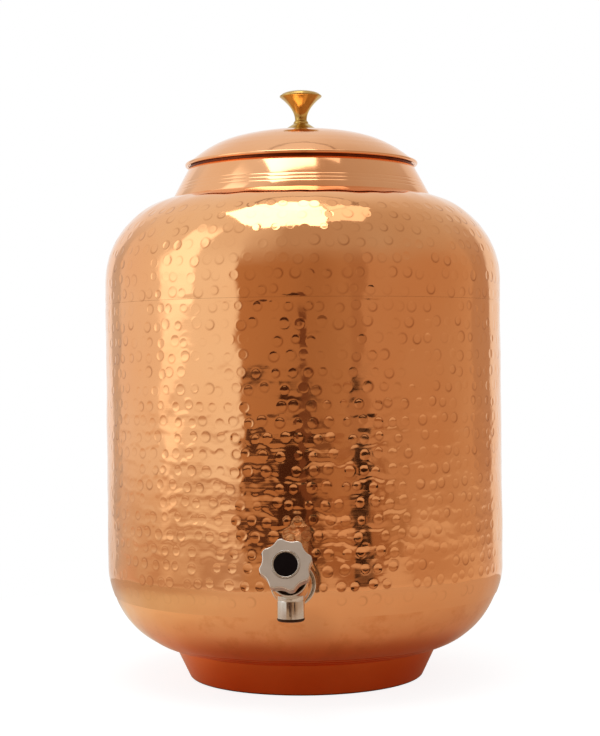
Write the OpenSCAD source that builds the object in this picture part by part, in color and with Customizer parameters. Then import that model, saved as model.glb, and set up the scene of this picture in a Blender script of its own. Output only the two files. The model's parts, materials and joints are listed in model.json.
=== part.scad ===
// Copper water dispenser: a hammered drum on a tapered foot, with a lift-off domed lid and a chrome tap.
// Millimetres. The origin is the centre of the foot's resting face, +Z is up and the tap points along -Y.

/* [Vessel] */
// Outside diameter of the drum
body_d = 250; // [200:1:300]
// Thickness of the copper sheet
sheet_t = 1; // [0.8:0.1:1.5]
// Height of the bowl's flat underside above the table
base_z = 18; // [12:0.5:30]
// Radius of the drum's curl into the bowl
corner_r = 54.5; // [45:0.5:60]
// Height of the straight wall between the two curves
straight_h = 178; // [120:1:240]
// Radius of the shoulder
shoulder_r = 54; // [45:0.5:60]
// Depth of the drum's lower edge below the straight wall
seam_drop = 18; // [14:0.5:24]
// Depth of the shoulder's lower edge below its curve
shoulder_drop = 14; // [6:0.5:30]
// Overlap of the drum on the bowl, along the curve
lap_h = 6.5; // [4:0.5:9]
// Height of the lip that carries the neck collar
lip_h = 5; // [3:0.5:8]
// Space left for solder in the sheet joints
braze_gap = 0.1; // [0.05:0.01:0.15]

/* [Neck] */
// Outside diameter of the collar where it meets the shoulder
neck_base_d = 164; // [156:1:176]
// Outside diameter of the collar at the mouth
neck_top_d = 146; // [138:1:150]
// Height of the collar
neck_h = 17; // [14:0.5:26]
// Number of turned rings on the collar
ring_count = 3; // [1:1:4]
// Distance from ring to ring
ring_pitch = 2.2; // [1.6:0.1:2.6]
// Height of the first ring above the foot of the collar
ring_start = 4; // [3:0.5:5]
// Width of one ring groove
ring_w = 0.8; // [0.5:0.1:1.2]
// Depth of one ring groove
ring_depth = 0.2; // [0.1:0.05:0.4]

/* [Foot] */
// Outside diameter of the foot where it meets the bowl
foot_top_d = 166; // [156:1:180]
// Outside diameter of the foot on the table
foot_base_d = 147; // [136:1:154]
// Thickness of the foot's sheet
foot_t = 1.2; // [0.8:0.1:2]
// Width of the in-turned face that the foot stands on
foot_face = 4.5; // [3:0.5:8]
// Radius of the foot's lower edge
foot_edge_r = 1.5; // [1:0.1:2]

/* [Lid] */
// How far the lid's rolled edge stands out past the mouth
lid_over = 1; // [0.5:0.1:4]
// Thickness of the lid's sheet
lid_t = 1; // [0.8:0.1:1.5]
// Height of the dome above its rolled edge
dome_h = 23; // [15:0.5:35]
// How square the dome's shoulder is
dome_power = 3.2; // [2.4:0.1:4]
// Radius of the rolled edge
bead_r = 1.1; // [0.8:0.1:1.4]
// Diameter of the flat that carries the knob
crown_d = 24; // [23:0.5:30]
// Depth of the ring that centres the lid in the mouth
plug_h = 9; // [6:0.5:14]
// Thickness of that ring
plug_t = 1; // [0.8:0.1:1.5]
// Thickness of the ring's seat on the mouth
seat_h = 1.3; // [1:0.1:2]
// Play between the ring and the mouth
lid_play = 0.6; // [0.4:0.1:1]

/* [Lid knob] */
// Diameter of the knob's rim
knob_rim_d = 26.8; // [22:0.2:32]
// Diameter of the knob's waist
knob_waist_d = 7.6; // [7.4:0.1:9]
// Diameter of the knob's foot
knob_foot_d = 22.6; // [18:0.2:22.8]
// Height of the knob's foot at its edge
knob_edge_h = 1.2; // [0.5:0.1:1.5]
// Height of the cone from the foot to the small collar
knob_cone_h = 3.9; // [2:0.1:5]
// Height of the small collar
knob_collar_h = 1.3; // [1:0.1:2.5]
// How far the small collar stands out from the waist
knob_collar_out = 1; // [0.5:0.1:1.5]
// Height of the neck from the collar to the waist
knob_neck_h = 1.5; // [1:0.1:3]
// Height of the flare from the waist to the rim
knob_flare_h = 14.7; // [12:0.1:20]
// Thickness of the rim
knob_rim_t = 0.8; // [0.5:0.1:1.5]
// Height of the crown over the rim
knob_crown_h = 3.2; // [1:0.1:5]
// Diameter of the screw that holds the knob
lid_screw_d = 4; // [3:0.1:4.2]
// How far that screw reaches into the knob
lid_screw_in = 12; // [8:0.5:16]
// Diameter of that screw's head
lid_screw_head_d = 8; // [6:0.1:9]
// Height of that screw's head
lid_screw_head_h = 2.4; // [1.5:0.1:3]
// Diameter of the washer under the head
lid_washer_d = 11; // [9:0.5:14]
// Thickness of that washer
lid_washer_t = 1; // [0.5:0.1:2]

/* [Tap fixing] */
// Gap between the lap joint and the inner gasket
tap_clear = 2; // [1:0.5:10]
// Diameter of the threaded shank
shank_d = 16; // [14:0.5:17]
// Play of the shank in the wall and in the washers
shank_play = 0.2; // [0.1:0.05:0.4]
// Length of the shank inside the drum's wall
shank_in = 14; // [13:0.5:25]
// Outside diameter of the two gaskets
gasket_d = 24; // [22:0.5:25]
// Thickness of the outer gasket at its middle
outer_gasket_t = 2; // [1.5:0.1:4]
// Thickness of the inner gasket at its middle
inner_gasket_t = 2.5; // [2.3:0.1:4]
// Space between a gasket and the curved wall
gasket_gap = 0.05; // [0.02:0.01:0.1]
// Outside diameter of the flange
flange_d = 25.8; // [24:0.2:30]
// Thickness of the flange at its middle
flange_t = 3; // [2:0.1:4]
// Thickness of the flange at its rim
flange_rim_t = 1.4; // [1:0.1:1.8]
// Width of the raised rim round the flange's hollow
flange_rim_w = 1.4; // [0.8:0.1:1.5]
// Thickness of the flange at the bottom of that hollow
flange_hollow_t = 0.7; // [0.6:0.1:1]
// Width of the bevel on the flange's rim
flange_bevel = 0.5; // [0.2:0.1:0.7]
// Height of the bell that runs from the flange over the tap's neck
bell_h = 5; // [3:0.5:6]
// Thickness of that bell at its front edge
bell_t = 0.6; // [0.5:0.1:0.8]
// Outside diameter of the steel washer inside the drum
washer_d = 23; // [20:0.5:25]
// Thickness of that washer
washer_t = 1.2; // [0.8:0.1:2]
// Width across the flats of the back nut
nut_af = 21; // [20:0.5:22]
// Thickness of the back nut
nut_t = 6; // [4:0.5:7]

/* [Tap body] */
// Distance from the flange to the middle of the ball
bend_run = 12; // [10.5:0.5:16]
// Angle of the valve above the horizontal
valve_angle = 22; // [10:1:30]
// Diameter of the water way through the shank
inlet_d = 8; // [6:0.5:9]
// Thickness of the tap's wall round the valve
tap_wall = 2.6; // [2.2:0.1:3]
// How far the ball stands out from the valve's barrel
ball_over = 0.8; // [0.4:0.1:1.2]
// How far the barrel stands out from the shank
barrel_over = 0.8; // [0.5:0.1:1]
// Distance from the ball's middle to the spout's axis, along the shank
spout_run = 7; // [6.5:0.5:8]
// Outside diameter of the spout
spout_d = 15.4; // [14:0.1:16]
// Distance of the spout's mouth below the shank's axis
spout_drop = 17.3; // [17:0.1:24]
// Diameter of the spout's mouth
outlet_d = 11.8; // [10.6:0.1:12.4]
// Depth of the spout's mouth
outlet_h = 6; // [4:0.1:6.5]
// Diameter of the water way from the valve to the spout
passage_d = 9; // [7:0.5:9.5]

/* [Valve] */
// Diameter of the jumper plate that carries the seat washer
jumper_d = 12; // [11.5:0.1:12.5]
// Thickness of the jumper plate
jumper_t = 1.5; // [1:0.1:2]
// Diameter of the jumper's stem
stem_d = 3; // [2:0.1:3.6]
// Length of the jumper's stem
stem_h = 5; // [3:0.5:8]
// Thickness of the rubber seat washer
seat_washer_t = 2.5; // [2:0.1:3]
// Space for water round the jumper
flow_gap = 1; // [0.8:0.1:1.2]
// Distance of the valve seat behind the ball's middle
seat_set = 2; // [1.5:0.1:2.5]
// Diameter of the spindle
spindle_d = 8; // [7:0.1:8.4]
// Diameter of the collar at the spindle's foot
spindle_collar_d = 11; // [10:0.1:12]
// Height of that collar
spindle_collar_h = 2.5; // [1.5:0.1:4]
// Travel of the valve in one turn of the knob
valve_lift = 4; // [3:0.1:5]
// Space left over the spindle's collar when the tap is open
stop_gap = 0.5; // [0.3:0.1:1]
// Running clearance of the turning pieces
run_gap = 0.05; // [0.03:0.01:0.08]
// Length of the bonnet's plug inside the tap
plug_len = 6; // [4:0.5:8]
// Outside diameter of the bonnet's collar
bonnet_d = 20.8; // [20.4:0.2:24]
// Height of the bonnet's collar
bonnet_h = 7; // [6.5:0.5:8]
// Depth of the cup in the front of the collar
cup_h = 5; // [3:0.1:5.6]
// Thickness of the collar's rim round that cup
cup_rim_t = 1; // [0.8:0.1:1.4]
// Outside diameter of the gland
gland_d = 13.2; // [13:0.2:14]
// Height of the gland in front of the collar
gland_h = 2; // [1.5:0.1:4]
// Thickness of the O-ring
o_ring_t = 1.44; // [1:0.02:1.6]

/* [Tap knob] */
// Diameter over the knob's lobes
tap_knob_d = 28.4; // [26.4:0.2:34]
// Number of lobes
lobe_count = 8; // [6:1:9]
// Depth of the hollows between the lobes
lobe_depth = 1.7; // [1:0.1:2]
// Radius of those hollows
lobe_r = 8.6; // [7:0.1:10]
// Turn of the lobes from the vertical
lobe_turn = 14; // [0:1:45]
// Thickness of the lobed disc
disc_t = 8; // [7.4:0.1:11]
// Width of the bevels on the knob's edges
disc_bevel = 0.7; // [0.3:0.1:1.2]
// Diameter of the hub behind the disc
hub_d = 16; // [14:0.2:18]
// Length of the hub
hub_h = 17; // [14:0.5:22]
// Radius of the flare from the hub to the disc
hub_flare = 3.5; // [2:0.1:4]
// Space between the hub and the gland when the tap is shut
hub_gap = 1; // [0.5:0.1:2]
// Diameter of the round cap in the knob's face
cap_d = 12.8; // [11:0.1:14]
// Thickness of that cap
cap_t = 1.3; // [1:0.1:1.6]
// Width of the bright ring round the cap
bezel_w = 1; // [0.8:0.1:1.4]
// Depth of the bright ring's groove
bezel_in = 1; // [0.6:0.1:1.4]
// How far the bright ring stands out of the face
bezel_out = 0.5; // [0.3:0.1:1]
// Space between the cap and the screw's head
cap_space = 0.6; // [0.3:0.1:1]
// Diameter of the screw that holds the knob
knob_screw_d = 3; // [2:0.1:3.4]
// Length of that screw under its head
knob_screw_h = 10; // [8:0.5:14]
// Diameter of that screw's head
knob_screw_head_d = 6; // [5:0.1:7]
// Height of that screw's head
knob_screw_head_h = 2; // [1.2:0.1:2.2]

/* [Hidden] */
$fn = 72;

copper = "#c98555";
dark_copper = "#b96f42";
brass = "#c59a3f";
chrome = "#c9c8c6";
steel = "#a9abad";
rubber = "#26262a";
black = "#18181a";

arc_step = 5;      // angle between points along a curve, in degrees
far = 400;         // longer than anything that it cuts
overcut = 1;       // how far a cutter runs past the face that it opens
fine_fn = 720;     // sides of a large round that a thin piece is cut to
body_r = body_d / 2;

// Bowl and drum: both curl about the same circle
corner_c = body_r - corner_r;
bowl_r = corner_r - sheet_t - braze_gap;
corner_z = base_z + bowl_r;
seam_a = asin(seam_drop / corner_r);
lap_a = lap_h / corner_r * 180 / PI;
seam_z = corner_z - seam_drop;

// Shoulder and neck
shoulder_c = body_r - shoulder_r;
shoulder_z = corner_z + straight_h;
joint_z = shoulder_z - shoulder_drop;
neck_base_r = neck_base_d / 2;
neck_top_r = neck_top_d / 2;
neck_lean = (neck_base_r - neck_top_r) / neck_h;
neck_z = shoulder_height(neck_base_r) + braze_gap;
mouth_z = neck_z + neck_h;
lip_r = neck_base_r - sheet_t - 2 * braze_gap;

// Lid
lid_edge_r = neck_top_r + lid_over - bead_r;
lid_edge_z = mouth_z + seat_h + braze_gap + bead_r;
lid_edge_in = bead_r / 2;
crown_z = lid_edge_z + dome_h;
crown_r = crown_d / 2;
crown_top_z = dome_height(crown_r);
crown_under_z = crown_top_z - lid_t;
plug_r = neck_top_r - sheet_t - lid_play;
seat_r = neck_top_r - sheet_t / 2;
dome_steps = 18;

// Lid knob and its screw
knob_flare_power = 2;
knob_steps = 12;
knob_waist_r = knob_waist_d / 2;
knob_rim_r = knob_rim_d / 2;
knob_foot_r = knob_foot_d / 2;
knob_collar_r = knob_waist_r + knob_collar_out;
knob_collar_z = knob_edge_h + knob_cone_h;
knob_foot_h = knob_collar_z + knob_collar_h + knob_neck_h;
knob_crown_r = knob_rim_r - knob_rim_t;
screw_play = 0.2;

// Tap fixing, measured outwards along the shank from the drum's outer wall
tap_z = seam_z + lap_h + gasket_d / 2 + tap_clear;
shank_r = shank_d / 2;
shank_hole_r = shank_r + shank_play;
flange_u = outer_gasket_t;
barrel_u = flange_u + flange_t;
bend_u = barrel_u + bend_run;
inner_gasket_u = -sheet_t - inner_gasket_t;
washer_u = inner_gasket_u - washer_t;
nut_u = washer_u - nut_t;
nut_round = 0.96;  // share of the nut's corners that its rounding leaves
shank_end_u = -sheet_t - shank_in;

// Tap body and valve, measured along the valve's axis from the middle of the ball
chamber_r = jumper_d / 2 + flow_gap;
barrel_r = chamber_r + tap_wall;
ball_r = barrel_r + ball_over;
neck_barrel_r = shank_r + barrel_over;
inlet_r = inlet_d / 2;
seat_l = -seat_set;
jumper_l = seat_l + seat_washer_t;
spindle_l = jumper_l + jumper_t;
plug_l = spindle_l + spindle_collar_h + valve_lift + stop_gap;
front_l = plug_l + plug_len;
bonnet_l = front_l + bonnet_h;
gland_l = bonnet_l + gland_h;
spindle_r = spindle_d / 2;
bonnet_bore_r = spindle_r + run_gap;
o_ring_l = bonnet_l;
o_ring_r = bonnet_bore_r + run_gap + o_ring_t / 2;
groove_r = o_ring_r + o_ring_t / 2 + run_gap;
groove_h = o_ring_t + 2 * run_gap;
seat_wall = 0.2;   // least metal between the end of the water way and the seat
inlet_end_u = bend_u - (seat_set + seat_wall + inlet_r * sin(valve_angle)) / cos(valve_angle);
seat_bore_h = 5;

// Spout
spout_u = bend_u + spout_run;
spout_r = spout_d / 2;
outlet_r = outlet_d / 2;
passage_r = passage_d / 2;

// Tap knob
hub_l = gland_l + hub_gap;
disc_l = hub_l + hub_h;
face_l = disc_l + disc_t;
pocket_h = cap_t + cap_space + knob_screw_head_h;
pocket_l = face_l - pocket_h;
tap_knob_r = tap_knob_d / 2;
hub_r = hub_d / 2;
web_t = 1.5;
spindle_top_l = pocket_l - web_t;
cap_r = cap_d / 2;
cap_play = 0.1;
pocket_r = cap_r + cap_play;
bezel_in_r = cap_r + 2 * cap_play;
bezel_out_r = bezel_in_r + bezel_w;
cap_l = face_l - cap_t;
knob_screw_r = knob_screw_d / 2;
head_r = knob_screw_head_d / 2;

// Points of an arc about (c, z), from angle a to angle b
function arc(c, z, r, a, b) =
    let (n = max(2, ceil(abs(b - a) / arc_step)))
    [for (i = [0 : n]) let (t = a + (b - a) * i / n) [c + r * cos(t), z + r * sin(t)]];

// Height of the shoulder's outer face at a radius
function shoulder_height(r) = shoulder_z + sqrt(pow(shoulder_r, 2) - pow(r - shoulder_c, 2));

// Height of the bowl's underside at a radius
function bowl_height(r) = corner_z - sqrt(pow(bowl_r, 2) - pow(r - corner_c, 2));

// Angle of a radius on a curve of the shoulder
function shoulder_angle(r, curve) = acos((r - shoulder_c) / curve);

// Outer radius of the neck collar at a height
function neck_radius(z) = neck_base_r - neck_lean * (z - neck_z);

// Height and steepness of the dome's outer face at a radius
function dome_height(r) = crown_z - dome_h * pow(r / lid_edge_r, dome_power);
function dome_slope(r) = dome_h * dome_power / lid_edge_r * pow(r / lid_edge_r, dome_power - 1);
function dome_under(r) = dome_height(r) - lid_t * sqrt(1 + pow(dome_slope(r), 2));

// The same points from last to first
function reversed(list) = [for (i = [len(list) - 1 : -1 : 0]) list[i]];

// Places a piece on the tap: +X outwards along the shank, +Z up
module at_tap() {
    translate([0, -body_r, tap_z]) rotate([0, 0, -90]) children();
}

// Places a piece along the shank from u: its +Z runs outwards
module on_shank(u) {
    at_tap() translate([u, 0, 0]) rotate([0, 90, 0]) children();
}

// Places a piece along the valve's axis from l: its +Z runs outwards and up
module on_valve(l) {
    at_tap() translate([bend_u, 0, 0]) rotate([0, 90 - valve_angle, 0]) translate([0, 0, l]) children();
}

// Places a piece on the spout's axis at w above the shank
module on_spout(w) {
    at_tap() translate([spout_u, 0, w]) children();
}

module tube(outer, inner, h) {
    difference() {
        cylinder(r = outer, h = h);
        translate([0, 0, -overcut]) cylinder(r = inner, h = h + 2 * overcut);
    }
}

// Round solid whose face lies off the drum's outer wall by grow
module wall_core(grow) {
    side = arc(corner_c, corner_z, corner_r + grow, -seam_a, 0);
    rotate_extrude($fn = fine_fn)
        polygon(concat([[0, side[0][1]]], side, [[body_r + grow, shoulder_z], [0, shoulder_z]]));
}

module body_drum() {
    top_z = joint_z - braze_gap / 2;
    outside = arc(corner_c, corner_z, corner_r, -seam_a, 0);
    inside = arc(corner_c, corner_z, corner_r - sheet_t, 0, -seam_a);
    color(copper) difference() {
        rotate_extrude()
            polygon(concat(outside, [[body_r, top_z], [body_r - sheet_t, top_z]], inside));
        on_shank(-far / 4) cylinder(r = shank_hole_r, h = far / 2);
    }
}

module shoulder_shell() {
    start_z = joint_z + braze_gap / 2;
    lip_z = shoulder_height(lip_r);
    lip_top_r = neck_radius(lip_z + lip_h) - sheet_t - braze_gap;
    inner_r = shoulder_r - sheet_t;
    outside = arc(shoulder_c, shoulder_z, shoulder_r, 0, shoulder_angle(lip_r, shoulder_r));
    inside = arc(shoulder_c, shoulder_z, inner_r, shoulder_angle(lip_r - sheet_t, inner_r), 0);
    color(copper) rotate_extrude()
        polygon(concat(
            [[body_r, start_z]], outside,
            [[lip_top_r, lip_z + lip_h], [lip_top_r - sheet_t, lip_z + lip_h]],
            inside, [[body_r - sheet_t, start_z]]));
}

module base_bowl() {
    top_a = seam_a - lap_a;
    outside = arc(corner_c, corner_z, bowl_r, -90, -top_a);
    inside = arc(corner_c, corner_z, bowl_r - sheet_t, -top_a, -90);
    color(dark_copper) rotate_extrude()
        polygon(concat([[0, base_z]], outside, inside, [[0, base_z + sheet_t]]));
}

module neck_collar() {
    rings = [for (i = [0 : ring_count - 1], side = [-1 : 1])
        let (z = neck_z + ring_start + i * ring_pitch + side * ring_w / 2)
        [neck_radius(z) - (side == 0 ? ring_depth : 0), z]];
    base_in_r = neck_base_r - sheet_t;
    color(copper) rotate_extrude()
        polygon(concat(
            [[base_in_r, shoulder_height(base_in_r) + braze_gap], [neck_base_r, neck_z]],
            rings,
            [[neck_top_r, mouth_z], [neck_top_r - sheet_t, mouth_z]]));
}

module foot_ring() {
    base_r = foot_base_d / 2;
    top_r = foot_top_d / 2;
    top_in_r = top_r - foot_t;
    top_z = bowl_height(top_r) - braze_gap;
    face_r = base_r - foot_edge_r - foot_face;
    bend_r = base_r + (top_r - base_r) * foot_t / top_z - foot_t;
    lean = atan((top_r - base_r) / top_z);
    color(dark_copper) rotate_extrude()
        polygon(concat(
            [[face_r, 0]],
            arc(base_r - foot_edge_r, foot_edge_r, foot_edge_r, -90, -lean),
            [[top_r, top_z], [top_in_r, bowl_height(top_in_r) - braze_gap],
             [bend_r, foot_t], [face_r, foot_t]]));
}

module lid_dome() {
    end_r = lid_edge_r - lid_edge_in;
    radii = [for (i = [0 : dome_steps]) crown_r + (end_r - crown_r) * i / dome_steps];
    outside = [for (r = radii) [r, dome_height(r)]];
    inside = [for (r = reversed(radii)) [r, r > crown_r ? dome_under(r) : crown_under_z]];
    color(copper) difference() {
        union() {
            rotate_extrude()
                polygon(concat([[0, crown_top_z]], outside, inside, [[0, crown_under_z]]));
            rotate_extrude() translate([lid_edge_r, lid_edge_z]) circle(r = bead_r);
        }
        translate([0, 0, crown_under_z - overcut])
            cylinder(r = lid_screw_d / 2 + screw_play, h = lid_t + 2 * overcut);
    }
}

module lid_plug_ring() {
    in_r = plug_r - plug_t;
    color(copper) rotate_extrude()
        polygon([[in_r, mouth_z - plug_h], [plug_r, mouth_z - plug_h], [plug_r, mouth_z],
                 [seat_r, mouth_z], [seat_r, mouth_z + seat_h], [plug_r, mouth_z + seat_h],
                 [plug_r, dome_under(plug_r) - braze_gap], [in_r, dome_under(in_r) - braze_gap]]);
}

module lid_knob() {
    rim_h = knob_foot_h + knob_flare_h;
    flare = [for (i = [0 : knob_steps])
        let (t = i / knob_steps)
        [knob_waist_r + (knob_rim_r - knob_waist_r) * pow(t, knob_flare_power), knob_foot_h + knob_flare_h * t]];
    crown = [for (i = [0 : knob_steps])
        let (a = 90 * i / knob_steps)
        [knob_crown_r * cos(a), rim_h + knob_rim_t + knob_crown_h * sin(a)]];
    foot = [[0, 0], [knob_foot_r, 0], [knob_foot_r, knob_edge_h],
            [knob_collar_r, knob_collar_z], [knob_collar_r, knob_collar_z + knob_collar_h]];
    color(brass) translate([0, 0, crown_top_z]) difference() {
        rotate_extrude() polygon(concat(foot, flare, [[knob_rim_r, rim_h + knob_rim_t]], crown));
        translate([0, 0, -overcut]) cylinder(r = lid_screw_d / 2 + run_gap, h = lid_screw_in + 2 * overcut);
    }
}

module lid_washer() {
    color(steel) translate([0, 0, crown_under_z - lid_washer_t])
        tube(lid_washer_d / 2, lid_screw_d / 2 + screw_play, lid_washer_t);
}

module lid_screw() {
    head_z = crown_under_z - lid_washer_t;
    color(steel) union() {
        translate([0, 0, head_z - lid_screw_head_h]) cylinder(d = lid_screw_head_d, h = lid_screw_head_h);
        translate([0, 0, head_z - overcut])
            cylinder(r = lid_screw_d / 2, h = overcut + lid_washer_t + lid_t + lid_screw_in);
    }
}

// Outside of the tap round the valve, moved outwards by grow
module valve_housing(grow) {
    on_valve(0) sphere(r = ball_r + grow);
    on_valve(0) cylinder(r = barrel_r + grow, h = front_l);
}

module tap_body() {
    color(chrome) difference() {
        union() {
            on_shank(shank_end_u) cylinder(r = shank_r, h = barrel_u - shank_end_u + overcut);
            on_shank(barrel_u) cylinder(r = neck_barrel_r, h = bend_run);
            valve_housing(0);
        }
        on_shank(shank_end_u - overcut) cylinder(r = inlet_r, h = inlet_end_u - shank_end_u + overcut);
        on_valve(seat_l - seat_bore_h) cylinder(r = inlet_r, h = seat_bore_h + overcut);
        on_valve(seat_l) cylinder(r = chamber_r, h = front_l - seat_l + overcut);
        on_spout(-far / 4) cylinder(r = passage_r, h = far / 4);
    }
}

module spout_tube() {
    color(chrome) difference() {
        on_spout(-spout_drop) cylinder(r = spout_r, h = spout_drop - overcut);
        valve_housing(braze_gap);
        on_spout(-spout_drop - overcut) cylinder(r = outlet_r, h = outlet_h + overcut);
        on_spout(-spout_drop) cylinder(r = passage_r, h = spout_drop);
    }
}

module tap_flange() {
    rim_r = flange_d / 2;
    hollow_r = rim_r - flange_rim_w;
    bell_r = neck_barrel_r + shank_play;
    bell_u = flange_t + bell_h;
    color(chrome) on_shank(flange_u) rotate_extrude()
        polygon([[shank_hole_r, 0], [rim_r, 0], [rim_r, flange_rim_t - flange_bevel],
                 [rim_r - flange_bevel, flange_rim_t], [hollow_r, flange_rim_t], [hollow_r, flange_hollow_t],
                 [bell_r + bell_t, bell_u], [bell_r, bell_u], [bell_r, flange_t], [shank_hole_r, flange_t]]);
}

module outer_gasket() {
    color(rubber) difference() {
        on_shank(-gasket_d / 4) tube(gasket_d / 2, shank_hole_r, gasket_d / 4 + outer_gasket_t);
        wall_core(gasket_gap);
    }
}

module inner_gasket() {
    color(rubber) intersection() {
        on_shank(inner_gasket_u) tube(gasket_d / 2, shank_hole_r, inner_gasket_t + gasket_d / 4);
        wall_core(-sheet_t - gasket_gap);
    }
}

module inner_washer() {
    color(steel) on_shank(washer_u) tube(washer_d / 2, shank_hole_r, washer_t);
}

module back_nut() {
    color(chrome) on_shank(nut_u) difference() {
        intersection() {
            cylinder(d = nut_af / cos(30), h = nut_t, $fn = 6);
            cylinder(d = nut_af / cos(30) * nut_round, h = nut_t);
        }
        translate([0, 0, -overcut]) cylinder(r = shank_r + run_gap, h = nut_t + 2 * overcut);
    }
}

module bonnet() {
    rim_r = bonnet_d / 2;
    gland_r = gland_d / 2;
    color(chrome) difference() {
        union() {
            on_valve(plug_l) cylinder(r = chamber_r - run_gap, h = plug_len + overcut);
            on_valve(front_l) cylinder(r = rim_r, h = bonnet_h - cup_h);
            on_valve(bonnet_l - cup_h - overcut) tube(rim_r, rim_r - cup_rim_t, cup_h + overcut);
            on_valve(front_l) cylinder(r = gland_r, h = gland_l - front_l);
        }
        on_valve(plug_l - overcut) cylinder(r = bonnet_bore_r, h = gland_l - plug_l + 2 * overcut);
        on_valve(o_ring_l - groove_h / 2) cylinder(r = groove_r, h = groove_h);
    }
}

module spindle_o_ring() {
    color(rubber) on_valve(o_ring_l) rotate_extrude() translate([o_ring_r, 0]) circle(d = o_ring_t);
}

module seat_washer() {
    color(rubber) on_valve(seat_l) cylinder(r = jumper_d / 2 - run_gap, h = seat_washer_t);
}

module valve_jumper() {
    color(brass) union() {
        on_valve(jumper_l) cylinder(d = jumper_d, h = jumper_t);
        on_valve(jumper_l) cylinder(d = stem_d, h = jumper_t + stem_h);
    }
}

module spindle() {
    color(brass) difference() {
        union() {
            on_valve(spindle_l) cylinder(d = spindle_collar_d, h = spindle_collar_h);
            on_valve(spindle_l) cylinder(r = spindle_r, h = spindle_top_l - spindle_l);
        }
        on_valve(spindle_l - overcut) cylinder(r = stem_d / 2 + run_gap, h = stem_h + 2 * overcut);
        on_valve(pocket_l - knob_screw_h - overcut) cylinder(r = knob_screw_r + run_gap, h = far / 4);
    }
}

// Lobed disc: hollows cut from a bevelled round
module lobed_disc() {
    difference() {
        union() {
            cylinder(r1 = tap_knob_r - disc_bevel, r2 = tap_knob_r, h = disc_bevel);
            translate([0, 0, disc_bevel]) cylinder(r = tap_knob_r, h = disc_t - 2 * disc_bevel);
            translate([0, 0, disc_t - disc_bevel])
                cylinder(r1 = tap_knob_r, r2 = tap_knob_r - disc_bevel, h = disc_bevel);
        }
        for (i = [0 : lobe_count - 1])
            rotate([0, 0, lobe_turn + (i + 0.5) * 360 / lobe_count])
                translate([tap_knob_r - lobe_depth + lobe_r, 0, -overcut])
                    cylinder(r = lobe_r, h = disc_t + 2 * overcut);
    }
}

// Round hub that flares out to carry the disc
module hub() {
    flare = arc(hub_r + hub_flare, hub_h - hub_flare, hub_flare, 180, 90);
    rotate_extrude()
        polygon(concat(
            [[0, 0], [hub_r - disc_bevel, 0], [hub_r, disc_bevel]], flare,
            [[hub_r + hub_flare, hub_h + overcut], [0, hub_h + overcut]]));
}

module tap_knob() {
    color(chrome) difference() {
        union() {
            on_valve(disc_l) lobed_disc();
            on_valve(hub_l) hub();
        }
        on_valve(hub_l - overcut) cylinder(r = spindle_r + run_gap, h = spindle_top_l - hub_l + overcut + run_gap);
        on_valve(pocket_l - 2 * web_t) cylinder(r = knob_screw_r + screw_play, h = far / 4);
        on_valve(pocket_l) cylinder(r = pocket_r, h = pocket_h + overcut);
        on_valve(face_l - bezel_in) cylinder(r = bezel_out_r + cap_play, h = bezel_in + overcut);
    }
}

module knob_bezel() {
    color(chrome) on_valve(face_l - bezel_in) tube(bezel_out_r, bezel_in_r, bezel_in + bezel_out);
}

module knob_cap() {
    color(black) on_valve(cap_l) cylinder(r = cap_r, h = cap_t);
}

module knob_screw() {
    color(steel) union() {
        on_valve(pocket_l) cylinder(r = head_r, h = knob_screw_head_h);
        on_valve(pocket_l - knob_screw_h) cylinder(r = knob_screw_r, h = knob_screw_h + overcut / 2);
    }
}

body_drum();
shoulder_shell();
base_bowl();
neck_collar();
foot_ring();
lid_dome();
lid_plug_ring();
lid_knob();
lid_screw();
lid_washer();
tap_body();
spout_tube();
tap_flange();
outer_gasket();
inner_gasket();
inner_washer();
back_nut();
bonnet();
spindle_o_ring();
spindle();
valve_jumper();
seat_washer();
tap_knob();
knob_bezel();
knob_cap();
knob_screw();
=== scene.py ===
import json
import math

import bmesh
import bpy
import numpy as np
from mathutils import Matrix, Vector


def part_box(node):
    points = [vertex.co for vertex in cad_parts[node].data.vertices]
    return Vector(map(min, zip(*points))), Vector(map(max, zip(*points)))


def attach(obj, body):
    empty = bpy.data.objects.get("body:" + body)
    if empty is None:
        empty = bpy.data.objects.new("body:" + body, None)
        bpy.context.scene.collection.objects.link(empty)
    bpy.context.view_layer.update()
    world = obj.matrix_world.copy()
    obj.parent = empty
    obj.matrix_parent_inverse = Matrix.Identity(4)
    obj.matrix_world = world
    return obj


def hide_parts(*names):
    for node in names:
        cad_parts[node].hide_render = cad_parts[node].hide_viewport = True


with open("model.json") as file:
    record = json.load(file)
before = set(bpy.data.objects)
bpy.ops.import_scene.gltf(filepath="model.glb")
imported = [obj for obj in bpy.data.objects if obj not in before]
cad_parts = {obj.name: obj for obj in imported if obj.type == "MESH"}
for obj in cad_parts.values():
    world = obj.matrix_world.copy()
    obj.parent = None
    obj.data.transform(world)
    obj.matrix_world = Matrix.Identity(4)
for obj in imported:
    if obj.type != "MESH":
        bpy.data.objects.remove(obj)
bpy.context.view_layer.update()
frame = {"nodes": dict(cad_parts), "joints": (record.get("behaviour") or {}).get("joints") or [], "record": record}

nodes = frame["nodes"]
joints = {joint["name"]: joint for joint in frame["joints"]}
scene = bpy.context.scene
scene.view_settings.view_transform = "Standard"
print("frame:", len(nodes), "nodes")


# camera at the height of the drum's upper third, a little to the right of the tap
photoView = {
    "distance": 1.052,
    "height": 0.1996,
    "azimuth": 3.2,
    "roll": 0.6,
    "sensor": 36,
    "lens": 80.6,
    "shift": (-3.4 / 736, -8.0 / 736),  # pixels of the longer side
}


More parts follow.
